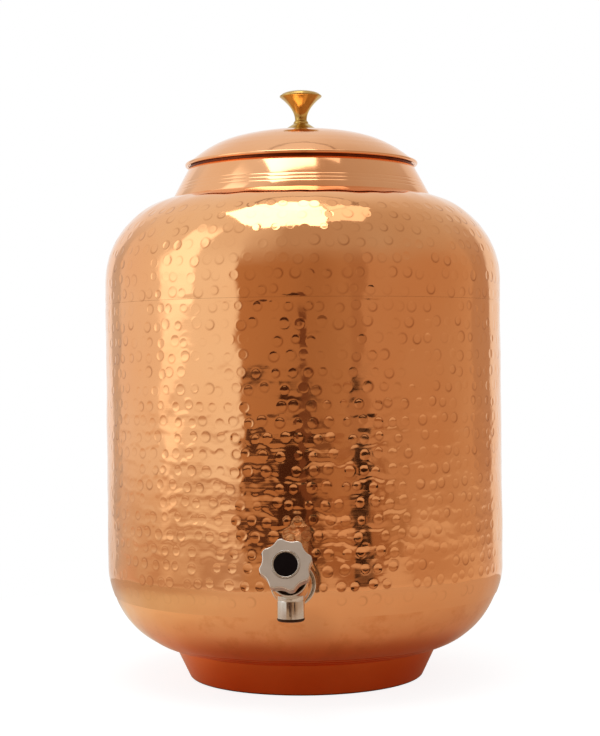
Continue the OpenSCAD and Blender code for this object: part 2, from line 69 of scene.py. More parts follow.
def addCamera():
    data = bpy.data.cameras.new("camera")
    data.sensor_width = photoView["sensor"]
    data.lens = photoView["lens"]
    data.shift_x, data.shift_y = photoView["shift"]
    camera = bpy.data.objects.new("camera", data)
    turn = math.radians(photoView["azimuth"])
    away = photoView["distance"]
    camera.location = (away * math.sin(turn), -away * math.cos(turn), photoView["height"])
    camera.rotation_euler = (math.pi / 2, math.radians(photoView["roll"]), turn)
    scene.collection.objects.link(camera)
    scene.camera = camera


class Wire:  # a node socket that can stand in a sum
    def __init__(self, tree, socket=None):
        self.tree = tree
        self.socket = socket

    def node(self, kind, settings=None, inputs=None, out=0):
        made = self.tree.nodes.new(kind)
        for key, value in (settings or {}).items():
            if key == "stops":
                ramp = made.color_ramp.elements
                for _ in range(len(value) - 2):
                    ramp.new(0.5)
                for stop, (place, colour) in zip(ramp, value):
                    stop.position = place
                    stop.color = (*colour, 1)
            else:
                setattr(made, key, value)
        for key, value in (inputs or {}).items():
            if isinstance(value, Wire):
                self.tree.links.new(value.socket, made.inputs[key])
            else:
                made.inputs[key].default_value = value
        return Wire(self.tree, made.outputs[out] if made.outputs else None)

    def maths(self, operation, a, b=0.0):
        return self.node("ShaderNodeMath", {"operation": operation}, {0: a, 1: b})

    __add__ = lambda self, other: self.maths("ADD", self, other)
    __radd__ = lambda self, other: self.maths("ADD", other, self)
    __sub__ = lambda self, other: self.maths("SUBTRACT", self, other)
    __rsub__ = lambda self, other: self.maths("SUBTRACT", other, self)
    __mul__ = lambda self, other: self.maths("MULTIPLY", self, other)
    __rmul__ = lambda self, other: self.maths("MULTIPLY", other, self)
    __truediv__ = lambda self, other: self.maths("DIVIDE", self, other)

    def step(self, low, high):  # 0 below low, 1 above high, smooth between
        return self.node("ShaderNodeMapRange", {"interpolation_type": "SMOOTHSTEP"},
                         {"Value": self, "From Min": low, "From Max": high})

    def mixed(self, first, second):  # a colour between two, with self as the share
        return self.node("ShaderNodeMix", {"data_type": "RGBA"}, {0: self, 6: first, 7: second}, 2)

    def noise(self, coords, scale, detail=2.0, rough=0.5):
        return self.node("ShaderNodeTexNoise", None,
                         {"Vector": coords, "Scale": scale, "Detail": detail, "Roughness": rough})


def rgb(colour):
    return (*colour, 1)


def grey(level):
    return rgb([level] * 3)


# studio: what the polished metal mirrors, by direction round the object
# 0 is the tap's side and + is image right, in degrees
studio = {
    "round": [
        (-180, (0.95, 0.95, 0.95)), (-142, (0.95, 0.95, 0.95)),
        (-140, (0.62, 0.59, 0.56)), (-128, (0.62, 0.59, 0.56)),
        (-126, (0.84, 0.79, 0.76)), (-95, (0.86, 0.82, 0.80)),
        (-60, (0.92, 0.91, 0.88)), (-34.0, (0.92, 0.91, 0.88)),
        (-33.0, (0.47, 0.275, 0.15)), (-10, (0.43, 0.245, 0.13)),
        (10, (0.38, 0.215, 0.115)), (29, (0.44, 0.265, 0.155)),
        (31, (0.40, 0.23, 0.135)), (36, (0.40, 0.23, 0.135)),
        (38, (0.51, 0.32, 0.205)), (95, (0.53, 0.35, 0.235)), (115, (0.59, 0.41, 0.285)),
        (118, (0.50, 0.34, 0.24)), (138, (0.50, 0.34, 0.24)),
        (141, (0.88, 0.82, 0.76)), (180, (0.95, 0.95, 0.95)),
    ],
    "above": [
        (-180, (0.85, 0.83, 0.80)), (-120, (0.85, 0.83, 0.80)),
        (-90, (0.85, 0.83, 0.80)), (-40, (0.80, 0.76, 0.72)),
        (-10, (0.50, 0.39, 0.31)), (30, (0.50, 0.39, 0.31)),
        (60, (0.53, 0.44, 0.37)), (110, (0.58, 0.50, 0.43)),
        (140, (0.66, 0.60, 0.54)), (180, (0.85, 0.83, 0.80)),
    ],
    "skirt": [  # the foot of the walls
        (-180, (0.90, 0.86, 0.82)), (-142, (0.90, 0.86, 0.82)),
        (-140, (0.62, 0.58, 0.54)), (-128, (0.74, 0.66, 0.60)),
        (-90, (0.80, 0.69, 0.61)), (-60, (0.72, 0.62, 0.55)), (-34.0, (0.72, 0.62, 0.55)),
        (-33.0, (0.40, 0.23, 0.125)), (20, (0.40, 0.23, 0.12)),
        (58, (0.40, 0.235, 0.135)), (68, (0.55, 0.365, 0.25)),
        (115, (0.57, 0.40, 0.285)), (138, (0.57, 0.40, 0.285)),
        (141, (0.85, 0.78, 0.70)), (180, (0.90, 0.86, 0.82)),
    ],
    "kerb": [  # where the walls meet the ground
        (-180, (0.90, 0.86, 0.82)), (-142, (0.88, 0.83, 0.79)),
        (-120, (0.80, 0.62, 0.52)), (-60, (0.56, 0.41, 0.32)), (-36, (0.48, 0.34, 0.26)),
        (-30, (0.50, 0.33, 0.21)), (8, (0.50, 0.33, 0.21)),
        (20, (0.64, 0.475, 0.36)), (58, (0.65, 0.49, 0.375)),
        (68, (0.66, 0.50, 0.385)), (120, (0.70, 0.54, 0.41)),
        (145, (0.88, 0.82, 0.78)), (180, (0.90, 0.86, 0.82)),
    ],
    "below": [
        (-180, (0.90, 0.86, 0.82)), (-120, (0.88, 0.82, 0.78)),
        (-60, (0.84, 0.75, 0.69)), (-40, (0.72, 0.58, 0.48)),
        (-28, (0.60, 0.43, 0.31)), (8, (0.62, 0.45, 0.33)),
        (20, (0.70, 0.53, 0.41)), (120, (0.72, 0.55, 0.42)),
        (145, (0.88, 0.82, 0.78)), (180, (0.90, 0.86, 0.82)),
    ],
    "aboveFrom": (8, 42),
    "skirtFrom": (-6.6, -2.0),
    "kerbFrom": (-8.6, -6.2),
    "belowFrom": (-13, -8.8),
    "panels": [  # upright panels at the front: from, to, foot, top, colour
        (17.0, 49.5, -7.9, -4.4, (0.34, 0.175, 0.09)),
        (-31.0, 4.0, -5.8, -2.8, (0.080, 0.036, 0.024)),
        (-11.0, 9.0, -8.0, -2.0, (0.055, 0.022, 0.013)),
        (1.5, 6.0, -9.0, 1.2, (0.16, 0.07, 0.038)),
        (9.0, 17.0, -6.5, -2.2, (0.20, 0.10, 0.052)),
        (30.5, 41.0, -7.0, -3.0, (0.025, 0.011, 0.008)),
        (3.0, 9.0, -17.0, -9.0, (0.06, 0.045, 0.035)),
    ],
    "panelEdge": 0.3,
    "strip": (-85, -61),
    "stripEdge": 2,
    "stripFoot": (-10, 8),
    "stripLean": (-5, 3),
    "stripTaper": 18,
    "stripTop": (44, 56),
    "stripLight": 1.5,
    "lens": (0.2, 0.245),
    "lensAbove": (0.5, 0.6),
    "lensTone": (1.0, 0.93, 0.87), "lensShare": 0.35, "lensFade": (0.90, 0.94),
    "rimTone": (0.16, 0.08, 0.05), "rimShare": 0.8, "rimIn": (0.93, 0.96), "rimOut": (0.98, 1.03),
    "fill": 0.62,
}


def addWorld():
    world = bpy.data.worlds.new("studio")
    scene.world = world
    world.use_nodes = True
    tree = world.node_tree
    tree.nodes.clear()
    start = Wire(tree)
    direction = start.node("ShaderNodeTexCoord")
    parts = start.node("ShaderNodeSeparateXYZ", None, {0: direction}).socket.node.outputs
    across, along, up = (Wire(tree, socket) for socket in parts)
    turn = start.maths("ARCTAN2", across, 0 - along) / math.pi * 180
    height = start.maths("ARCSINE", up) / math.pi * 180
    share = turn / 360 + 0.5

    def ring(zone):
        places = [(angle / 360 + 0.5, colour) for angle, colour in studio[zone]]
        return start.node("ShaderNodeValToRGB", {"stops": places}, {0: share})

    def band(value, low, high, soft):
        return value.step(low - soft, low + soft) * (1 - value.step(high - soft, high + soft))

    walls = height.step(*studio["aboveFrom"]).mixed(ring("round"), ring("above"))
    for zone in ("skirt", "kerb", "below"):
        walls = height.step(*studio[zone + "From"]).mixed(ring(zone), walls)
    soft = studio["panelEdge"]
    for left, right, low, high, tone in studio["panels"]:
        walls = (band(turn, left, right, soft) * band(height, low, high, soft)).mixed(walls, rgb(tone))
    (left, right), soft = studio["strip"], studio["stripEdge"]  # a light strip, narrower at its foot
    taper = studio["stripTaper"] * (1 - height.step(*studio["stripLean"]))
    strip = turn.step(left - soft, left + soft) * (1 - (turn + taper).step(right - soft, right + soft))
    strip = strip * height.step(*studio["stripFoot"]) * (1 - height.step(*studio["stripTop"]))
    walls = strip.mixed(walls, grey(studio["stripLight"]))
    behind, wide = studio["lens"]  # a round skylight, just behind the top
    away = start.maths("SQRT", across * across + (along - behind) * (along - behind)) / wide
    overhead = up.step(*studio["lensAbove"])
    pane = studio["lensShare"] * overhead * (1 - away.step(*studio["lensFade"]))
    walls = pane.mixed(walls, rgb(studio["lensTone"]))
    rim = away.step(*studio["rimIn"]) * (1 - away.step(*studio["rimOut"]))
    walls = (studio["rimShare"] * overhead * rim).mixed(walls, rgb(studio["rimTone"]))
    path = start.node("ShaderNodeLightPath").socket.node.outputs
    seen, glossy = Wire(tree, path["Is Camera Ray"]), Wire(tree, path["Is Glossy Ray"])
    colour = glossy.mixed(grey(studio["fill"]), walls)
    colour = seen.mixed(colour, grey(1))
    light = start.node("ShaderNodeBackground", None, {"Color": colour, "Strength": 1.0})
    start.node("ShaderNodeOutputWorld", None, {"Surface": light})


softboxes = {
    "softbox": {"size": (0.76, 0.84), "place": (-0.18, -0.275, 1.5), "turn": 12, "radiance": 2.8},
    "softboxEnd": {"size": (0.36, 0.56), "place": (0.38, -0.14, 1.5), "turn": 12, "radiance": 0.8},
}


def addLamps():
    for name, size in softboxes.items():
        data = bpy.data.lights.new(name, "AREA")
        data.shape = "RECTANGLE"
        data.size, data.size_y = size["size"]
        data.energy = size["radiance"] * math.pi * data.size * data.size_y
        lamp = bpy.data.objects.new(name, data)
        lamp.location = size["place"]
        lamp.rotation_euler = (0, 0, math.radians(size["turn"]))
        scene.collection.objects.link(lamp)


def finish(name, recipe):  # a material whose recipe reads object coordinates
    material = bpy.data.materials.new(name)
    material.use_nodes = True
    tree = material.node_tree
    tree.nodes.clear()
    start = Wire(tree)
    coords = start.node("ShaderNodeTexCoord", None, None, 3)
    start.node("ShaderNodeOutputMaterial", None, {"Surface": recipe(start, coords)})
    return material


floorLook = {
    "radius": 0.42, "segments": 128,
    "nearFrom": (0.092, 0.125), "farFrom": (0.16, 0.31),
    "sideFrom": (-0.20, 0.0), "waver": 0.06, "waverScale": 3.0,
    "paint": [  # left and right: under the bowl, near it, far from it; painted shade darkens the right under the bowl
        ((0.94, 0.90, 0.82), (0.60, 0.385, 0.255)),
        ((0.75, 0.74, 0.68), (0.74, 0.58, 0.45)),
        ((0.68, 0.58, 0.49), (0.71, 0.555, 0.44)),
    ],
    # painted glow: emission that lifts the floor's shadow near the bowl, most on the left
    "paintedGlow": [
        ((0.68, 0.64, 0.50), (0.04, 0.018, 0.009)),
        ((0.30, 0.35, 0.30), (0.05, 0.04, 0.03)),
        ((0.10, 0.085, 0.07), (0.05, 0.037, 0.027)),
    ],
    "shade": 0.26, "glow": 0.86,
}


def paleFloor(start, coords):  # near white to the camera; in the metal's reflections it shows painted shade and painted glow that change with place
    across = start.node("ShaderNodeSeparateXYZ", None, {0: coords})
    away = start.node("ShaderNodeVectorMath", {"operation": "LENGTH"}, {0: coords}, 1)
    waver = floorLook["waver"] * start.noise(coords, floorLook["waverScale"], 3.0)
    share = (across + waver).step(*floorLook["sideFrom"])

    def zoned(zones):
        under, near, far = (share.mixed(rgb(left), rgb(right)) for left, right in zones)
        near = away.step(*floorLook["farFrom"]).mixed(near, far)
        return away.step(*floorLook["nearFrom"]).mixed(under, near)

    def lit(colour, glow):
        paint = start.node("ShaderNodeBsdfDiffuse", None, {"Color": colour})
        light = start.node("ShaderNodeEmission", None, {"Color": glow, "Strength": 1.0})
        return start.node("ShaderNodeAddShader", None, {0: paint, 1: light})

    matte = lit(zoned(floorLook["paint"]), zoned(floorLook["paintedGlow"]))
    shown = lit(grey(floorLook["shade"]), grey(floorLook["glow"]))
    seen = start.node("ShaderNodeLightPath")
    return start.node("ShaderNodeMixShader", None, {0: seen, 1: matte, 2: shown})


def addFloor():
    bm = bmesh.new()
    bmesh.ops.create_circle(bm, cap_ends=True, segments=floorLook["segments"], radius=floorLook["radius"])
    mesh = bpy.data.meshes.new("floor")
    bm.to_mesh(mesh)
    bm.free()
    mesh.materials.append(finish("paleFloor", paleFloor))
    floor = bpy.data.objects.new("floor", mesh)
    scene.collection.objects.link(floor)


addCamera()
addWorld()
addLamps()
addFloor()
print("stage: camera, studio, floor")


# finishes
def streaks(start, coords, stretch):  # noise drawn out along the turning direction
    drawn = start.node("ShaderNodeMapping", None, {"Vector": coords, "Scale": stretch})
    return start.noise(drawn, 1.0, 3.0)


def upward(start, coords):
    return start.node("ShaderNodeSeparateXYZ", None, {0: coords}, 2)


def mottled(noise, high, first, second):  # a tone that wanders between two
    return noise.step(0.3, high).mixed(rgb(first), rgb(second))


def surface(start, tone, rough, height, depth, metallic=1.0, specular=0.5):
    relief = start.node("ShaderNodeBump", None, {"Strength": 1.0, "Distance": depth, "Height": height})
    return start.node("ShaderNodeBsdfPrincipled", None, {
        "Base Color": tone, "Metallic": metallic, "Roughness": rough, "Normal": relief,
        "Specular IOR Level": specular})


copperTones = {
    "bright": (0.950, 0.500, 0.235),
    "deep": (0.930, 0.450, 0.195),
    "spun": (0.950, 0.510, 0.265),
    "spunDeep": (0.930, 0.460, 0.215),
    # foot and footDeep: copper deepened to red, a painted copy for the shade and copper light the foot mirrors
    "foot": (0.950, 0.280, 0.080),
    "footDeep": (0.900, 0.235, 0.060),
    "paintedFootShadow": (0.100, 0.030, 0.012),
    # paintedLowShade: the colour of the painted shade low on one side of the drum
    "paintedLowShade": (0.640, 0.290, 0.110),
    "stain": (0.780, 0.300, 0.100),
    "bowlDeep": (0.910, 0.420, 0.175),
    "inside": (0.860, 0.420, 0.200),
    # edge: the painted shade round each hammer mark
    "edge": (0.420, 0.150, 0.050),
}


turnedLines = (7, 7, 620)


def blotches(start, coords, scale):
    return start.noise(coords, scale, 4.0, 0.55)


def copper(noise, first, second):
    return mottled(noise, 0.72, copperTones[first], copperTones[second])


def hammeredCopper(start, coords):
    blotch, cloud = blotches(start, coords, 14.0), start.noise(coords, 60.0, 3.0)
    inside, dent, edge = (start.node("ShaderNodeAttribute", {"attribute_name": label}, None, 2)
                          for label in ("inside", "dent", "edge"))
    tone = inside.mixed(copper(blotch, "bright", "deep"), rgb(copperTones["inside"]))
    across = start.node("ShaderNodeSeparateXYZ", None, {0: coords})
    up = upward(start, coords)
    paintedLowShade = (1 - across.step(-0.09, -0.02)) * (1 - up.step(0.078, 0.165))  # painted shade: darker low on that side, standing in for a darker reflection there
    paintedLowShade = paintedLowShade * (0.7 + 0.6 * blotch.step(0.3, 0.7))
    tone = (paintedLowShade * 0.5).mixed(tone, rgb(copperTones["paintedLowShade"]))
    tone = (edge * 0.9).mixed(tone, rgb(copperTones["edge"]))  # painted shade: each mark's edge darker
    rough = 0.060 + 0.05 * cloud.step(0.35, 0.8) - 0.015 * dent + 0.18 * inside
    drawn = up.step(0.075, 0.095) * (1 - up.step(0.150, 0.190)) * blotch.step(0.35, 0.6)
    lines = streaks(start, coords, turnedLines) * (0.2 + 0.8 * drawn)
    return surface(start, tone, rough, lines + start.noise(coords, 1400.0, 2.0) * 0.06, 0.000022)


def spunCopper(start, coords):
    tone = copper(blotches(start, coords, 16.0), "spun", "spunDeep")
    lines, cloud = streaks(start, coords, turnedLines), start.noise(coords, 45.0, 3.0)
    rough = 0.065 + 0.05 * cloud.step(0.35, 0.8) + 0.03 * lines
    return surface(start, tone, rough, lines * 0.04 + start.noise(coords, 55.0, 1.0), 0.00012)


def bowlCopper(start, coords):
    tone = copper(blotches(start, coords, 16.0), "bright", "bowlDeep")
    # painted shade: redder and deeper low on the bowl, for the shaded floor and copper it mirrors
    low = 1 - upward(start, coords).step(0.022, 0.050)
    tone = (low * 0.85).mixed(tone, rgb(copperTones["foot"]))
    stain = start.noise(coords, 75.0, 4.0, 0.65)
    tone = (0.45 * stain.step(0.48, 0.66)).mixed(tone, rgb(copperTones["stain"]))
    lines = streaks(start, coords, turnedLines)
    rough = 0.05 + 0.04 * lines + 0.03 * stain.step(0.4, 0.7)
    return surface(start, tone, rough, lines * 0.06 + start.noise(coords, 40.0, 2.0), 0.00015)


def footCopper(start, coords):
    # painted shade: the foot's copper is deepened to red
    tone = copper(blotches(start, coords, 22.0), "foot", "footDeep")
    paintedContactShadow = 1 - upward(start, coords).step(0.0004, 0.0013)  # painted contact shadow along the edge where it stands
    tone = paintedContactShadow.mixed(tone, rgb(copperTones["paintedFootShadow"]))
    lines = streaks(start, coords, (7, 7, 700))
    return surface(start, tone, 0.13 + 0.06 * lines, lines, 0.000006)


def turnedBrass(start, coords):
    tone = mottled(start.noise(coords, 120.0, 3.0), 0.75, (0.66, 0.44, 0.13), (0.50, 0.31, 0.075))
    lines = streaks(start, coords, (60, 60, 1500))
    return surface(start, tone, 0.13 + 0.08 * lines, lines, 0.000005)


def tapChrome(start, coords):
    cloud = start.noise(coords, 260.0, 3.0)
    tone = mottled(cloud, 0.8, (0.72, 0.68, 0.62), (0.65, 0.61, 0.55))
    return surface(start, tone, 0.07 + 0.06 * cloud, start.noise(coords, 320.0, 2.0), 0.00002)


def satinChrome(start, coords):
    tone = mottled(start.noise(coords, 180.0, 3.0), 0.8, (0.66, 0.63, 0.59), (0.60, 0.57, 0.53))
    lines = streaks(start, coords, (1600, 90, 90))
    return surface(start, tone, 0.30 + 0.10 * lines, lines + start.noise(coords, 2600.0, 2.0), 0.000006)


def paintedSeatShadow(start, coords):  # the lid's seat: near black copper, a painted shadow for the gap under the lid's rim
    cloud = start.noise(coords, 120.0, 3.0)
    tone = mottled(cloud, 0.75, (0.200, 0.045, 0.018), (0.120, 0.028, 0.012))
    return surface(start, tone, 0.34 + 0.14 * cloud, start.noise(coords, 900.0, 2.0), 0.00001)


def darkMetal(start, coords):  # bare metal in shade: the bonnet's cup and the spout's mouth
    cloud = start.noise(coords, 300.0, 3.0)
    tone = mottled(cloud, 0.75, (0.060, 0.030, 0.018), (0.030, 0.016, 0.011))
    return surface(start, tone, 0.34 + 0.14 * cloud, start.noise(coords, 1200.0, 2.0), 0.00001)


def plainSteel(start, coords):
    tone = start.noise(coords, 220.0, 3.0).mixed(rgb((0.56, 0.56, 0.57)), rgb((0.46, 0.46, 0.47)))
    lines = start.noise(coords, 1500.0, 2.0)
    return surface(start, tone, 0.26 + 0.12 * lines, lines, 0.00001)


def blackRubber(start, coords):
    grain = start.noise(coords, 900.0, 3.0)
    tone = grain.mixed(rgb((0.030, 0.030, 0.033)), rgb((0.055, 0.055, 0.060)))
    return surface(start, tone, 0.60 + 0.2 * grain, grain, 0.00003, 0.0)


def glossBlack(start, coords):
    grain = start.noise(coords, 400.0, 3.0)
    tone = grain.mixed(rgb((0.004, 0.002, 0.002)), rgb((0.007, 0.004, 0.004)))
    return surface(start, tone, 0.16 + 0.1 * grain, grain, 0.000008, 0.0, 0.06)


recipes = {
    "hammered_copper": hammeredCopper, "spun_copper": spunCopper, "bowl": bowlCopper, "foot": footCopper,
    "turned_brass": turnedBrass, "tap_chrome": tapChrome, "satin_chrome": satinChrome, "seat": paintedSeatShadow,
    "dark": darkMetal, "steel": plainSteel, "rubber": blackRubber, "black_plastic": glossBlack,
}
finishes = {slot: finish(recipe.__name__, recipe) for slot, recipe in recipes.items()}
print("finishes:", len(finishes))


# every CAD node that stays in view takes the finish of its slot
for part in frame["record"]["subparts"]:
    mesh = nodes[part["node"]].data
    mesh.materials.clear()
    mesh.materials.append(finishes[part["material_slot"]])


weld = {"turned": 1e-7, "rolled": 1e-6}
sharpAngle = math.radians(40)


def pick(size, names):  # several of a piece's sizes at once
    return [size[name] for name in names.split()]


def arcPoints(centre, height, radius, first, last, step):  # a profile's curve, angles in degrees
    count = max(2, round(math.radians(abs(last - first)) * radius / step))
    turns = [math.radians(first + (last - first) * i / count) for i in range(count + 1)]
    return [(centre + radius * math.cos(t), height + radius * math.sin(t)) for t in turns]


def straightPoints(radius, first, last, step):  # a profile's upright line
    count = round(abs(last - first) / step)
    return [(radius, first + (last - first) * i / count) for i in range(count + 1)]


def groovePoints(radiusAt, middle, wide, deep, edge):  # a fine turned ring
    places = [middle + part * wide for part in (-0.5, 0, 0.5)]
    return [(radiusAt(z) - depth, z, edge) for z, depth in zip(places, (0, deep, 0))]


def drawWire(bm, points):  # a profile in the XZ plane; a third number rounds that corner
    verts = [bm.verts.new((point[0], 0, point[1])) for point in points]
    for pair in zip(verts, verts[1:]):
        bm.edges.new(pair)
    for vert, point in zip(verts, points):
        if len(point) > 2:
            bmesh.ops.bevel(bm, geom=[vert], offset=point[2], offset_type="OFFSET", segments=5, profile=0.5,
                            affect="VERTICES", material=-1)


def moveAll(bm, matrix):
    bmesh.ops.transform(bm, matrix=matrix, space=Matrix.Identity(4), verts=bm.verts)


def lathe(bm, points, steps, closed=True, matrix=Matrix.Identity(4)):  # a full turn about Z
    draft = bmesh.new()
    drawWire(draft, points + [points[0][:2]] if closed else points)
    bmesh.ops.remove_doubles(draft, verts=draft.verts, dist=weld["turned"])
    bmesh.ops.spin(draft, geom=draft.verts[:] + draft.edges[:], cent=(0, 0, 0), axis=(0, 0, 1),
                   angle=2 * math.pi, steps=steps, use_merge=True)
    bmesh.ops.remove_doubles(draft, verts=draft.verts, dist=weld["turned"])
    bmesh.ops.recalc_face_normals(draft, faces=draft.faces)
    moveAll(draft, matrix)
    mesh = bpy.data.meshes.new("draft")
    draft.to_mesh(mesh)
    draft.free()
    bm.from_mesh(mesh)
    bpy.data.meshes.remove(mesh)


def register(name, mesh, body, looks, node):
    for look in looks:
        mesh.materials.append(finishes[look])
    piece = bpy.data.objects.new(name, mesh)
    scene.collection.objects.link(piece)
    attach(piece, body)
    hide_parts(node)
    return piece


def addPiece(name, bm, body, looks, node, matrix=Matrix.Identity(4)):
    moveAll(bm, matrix)
    for face in bm.faces:
        face.smooth = True
    for edge in bm.edges:
        edge.smooth = edge.calc_face_angle(0) < sharpAngle
    mesh = bpy.data.meshes.new(name)
    bm.to_mesh(mesh)
    bm.free()
    return register(name, mesh, body, looks, node)


def addTurned(name, points, steps, body, slot, node, matrix=Matrix.Identity(4), look=None, closed=True):
    bm = bmesh.new()
    lathe(bm, points, steps, closed)
    return addPiece(name, bm, body, [look or slot], node, matrix)


def skinPlaces(mesh):
    values = np.empty(len(mesh.vertices) * 3)
    mesh.vertices.foreach_get("co", values)
    return values.reshape(-1, 3)


def moveSkin(piece, lift):  # shifts a finished piece's points by a field of their places
    place = skinPlaces(piece.data)
    piece.data.vertices.foreach_set("co", (place + lift(place)).ravel())
    piece.data.update()


# the drum's outline, shared by its sheets
drumLow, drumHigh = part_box("body_drum")
shoulderLow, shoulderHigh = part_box("shoulder_shell")
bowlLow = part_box("base_bowl")[0]
neckLow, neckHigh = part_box("neck_collar")
outline = {
    "radius": drumHigh.x,
    "sheet": 0.001,
    "cornerR": 0.0545,
    "shoulderR": 0.054,
    "lap": 0.0011,
    "straight": 0.178,
    "rimUp": 0.0020,
}
cornerC = outline["radius"] - outline["cornerR"]
bowlR = outline["cornerR"] - outline["lap"]
cornerZ = bowlLow.z + bowlR
shoulderC = outline["radius"] - outline["shoulderR"]
shoulderZ = cornerZ + outline["straight"]
# where the wall laps the bowl: its angle on the corner, and its way along the outline
seamTurn = -math.degrees(math.asin((cornerZ - drumLow.z) / outline["cornerR"]))
seamWay = cornerZ + math.radians(seamTurn) * outline["cornerR"]
tapPlace = Vector(joints["knob_turn"]["pos_m"])


def sheetStation(r, z):  # way along the outline, and the outward direction there
    low, high = z < cornerZ, z > shoulderZ
    lowTurn = np.arctan2(z - cornerZ, r - cornerC)
    highTurn = np.arctan2(z - shoulderZ, r - shoulderC)
    turn = np.where(low, lowTurn, np.where(high, highTurn, 0.0))
    bend = np.where(low, outline["cornerR"], outline["shoulderR"])
    base = np.where(low, cornerZ, np.where(high, shoulderZ, z))
    return base + bend * turn, np.cos(turn), np.sin(turn)


def sheetRadius(way):  # radius of the outline at a way along it
    low = cornerC + outline["cornerR"] * np.cos((way - cornerZ) / outline["cornerR"])
    high = shoulderC + outline["shoulderR"] * np.cos((way - shoulderZ) / outline["shoulderR"])
    return np.where(way < cornerZ, low, np.where(way > shoulderZ, high, outline["radius"]))


# hammer marks: rows of round shallow dents, none quite in line
hammer = {
    "pitch": 0.0093,
    "rows": (0.0625, 0.295),
    "radius": (0.0024, 0.0032),
    "depth": (0.000065, 0.000135),
    "flat": 2.6,
    "soft": 0.10,
    "stray": (0.24, 0.12),
    "missing": 0.05,
    "lip": 0.000016,
    "lipWidth": 0.0007,
    # edge: strength of the painted shade line round each mark
    "edge": 1.0,
    "edgeTurn": (-2.0, 0.6),
    "edgeWidth": 0.00045,
    "fade": (0.054, 0.072),
    "feather": 0.0007,
    "featherUp": 0.016,
    "light": 0.65,
    "lightRows": (0.155, 0.195),
    "lightFront": (0.80, 0.92),
    "sideLight": 0.30,
    "ridge": 0.000042,
    "ridgeBand": (0.075, 0.095, 0.150, 0.190),
    "ridgeEnds": (0.065, 0.080, 0.26, 0.30),
    "perRow": 128,
    "waves": 30,
    "wave": 0.00055,
    "hold": 0.003,
    "tapClear": (0.0130, 0.0165),
    "seed": 23,
}
faintMarks = {  # the few soft marks that run on into the bowl
    **hammer,
    "pitch": 0.0104,
    "rows": (0.030, 0.0615),
    "radius": (0.0036, 0.0048),
    "depth": (0.00003, 0.00009),
    "flat": 2.0,
    "soft": 0.35,
    "stray": (0.3, 0.25),
    "missing": 0.3,
    "fade": (0.024, 0.046),
    "lip": 0.0, "edge": 0.0, "light": 0.0, "sideLight": 0.0,
    "wave": 0.00060,
    "seed": 31,
}


def easeStep(low, high, value):
    share = np.clip((value - low) / (high - low), 0, 1)
    return share * share * (3 - 2 * share)


def strike(size):  # every mark's place, width and depth, the same on each run
    chance = np.random.default_rng(size["seed"])
    first, last = size["rows"]
    count = int(round((last - first) / size["pitch"])) + 1
    shape, waves = (count, size["perRow"]), size["waves"]
    return {
        "count": count,
        "stray": chance.uniform(-1, 1, (2, *shape)),
        "radius": chance.uniform(*size["radius"], shape),
        "depth": chance.uniform(*size["depth"], shape) * (chance.random(shape) > size["missing"]),
        "phase": chance.random(count),
        "waveTurns": chance.integers(3, 40, waves),
        "waveRise": chance.uniform(20, 190, waves) * chance.choice((-1, 1), waves),
        "wavePhase": chance.uniform(0, 2 * math.pi, waves),
        "edge": chance.random(shape) ** 1.4 * size["edge"],
        "edgeTurn": chance.uniform(*size["edgeTurn"], shape),
    }


def nearMarks(size, marks, turn, way):  # the nine marks round each point: how far off, and which
    nearRow = np.rint((way - size["rows"][0]) / size["pitch"]).astype(int)
    for rowStep in (-1, 0, 1):
        row = np.clip(nearRow + rowStep, 0, marks["count"] - 1)
        rowWay = size["rows"][0] + row * size["pitch"]
        rowR = sheetRadius(rowWay)
        around = np.rint(2 * math.pi * rowR / size["pitch"])
        nearMark = np.rint(turn / (2 * math.pi) * around - marks["phase"][row])
        for markStep in (-1, 0, 1):
            mark = np.mod(nearMark + markStep, around).astype(int)
            side, rise = marks["stray"][0, row, mark], marks["stray"][1, row, mark]
            place = nearMark + markStep + marks["phase"][row] + side * size["stray"][0]
            markTurn = place * 2 * math.pi / around
            markWay = rowWay + rise * size["stray"][1] * size["pitch"]
            yield (turn - markTurn) * rowR, way - markWay, (row, mark)


def markFade(size, way):
    last = size["rows"][1]
    return easeStep(*size["fade"], way) * (1 - easeStep(last + 0.003, last + 0.006, way))


def hammerMarks(size, marks, turn, way):
    deepest = np.zeros_like(way)
    lip = np.zeros_like(way)
    for across, up, which in nearMarks(size, marks, turn, way):
        away = np.hypot(across, up)
        reach, depth = marks["radius"][which], marks["depth"][which]
        cup = 1 - (away / reach) ** size["flat"]
        deepest = np.maximum(deepest, depth * (cup + np.sqrt(cup * cup + size["soft"] ** 2)) / 2)
        rim = np.exp(-((away - reach) / size["lipWidth"]) ** 2) * (depth > 0)
        lip = np.maximum(lip, rim * size["lip"])
    fade = markFade(size, way)
    high, front = easeStep(*size["lightRows"], way), easeStep(*size["lightFront"], -np.sin(turn))
    light = size["light"] * high * front + size["sideLight"] * (1 - high) * (1 - front)
    return deepest * fade * (1 - light), lip * fade


def markEdges(size, marks, turn, way):  # the painted shade line round each mark, heavier on one side
    edge = np.zeros_like(way)
    for across, up, which in nearMarks(size, marks, turn, way):
        line = np.exp(-((np.hypot(across, up) - marks["radius"][which]) / size["edgeWidth"]) ** 2)
        lean = 0.5 + 0.5 * np.cos(np.arctan2(up, across) - marks["edgeTurn"][which])
        edge = np.maximum(edge, line * lean * marks["edge"][which] * (marks["depth"][which] > 0))
    return edge * markFade(size, way)


def sheetNoise(marks, turn, way):  # smooth and the same on each run, about -0.4 to 0.4
    total = np.zeros_like(way)
    for turns, rise, phase in zip(marks["waveTurns"], marks["waveRise"], marks["wavePhase"]):
        total += np.sin(turns * turn + rise * way + phase) / (8 + turns)
    return total


def bandStep(ends, way):  # 0 outside the four heights, 1 between the inner two
    low, lowFull, highFull, high = ends
    return easeStep(low, lowFull, way) * (1 - easeStep(highFull, high, way))


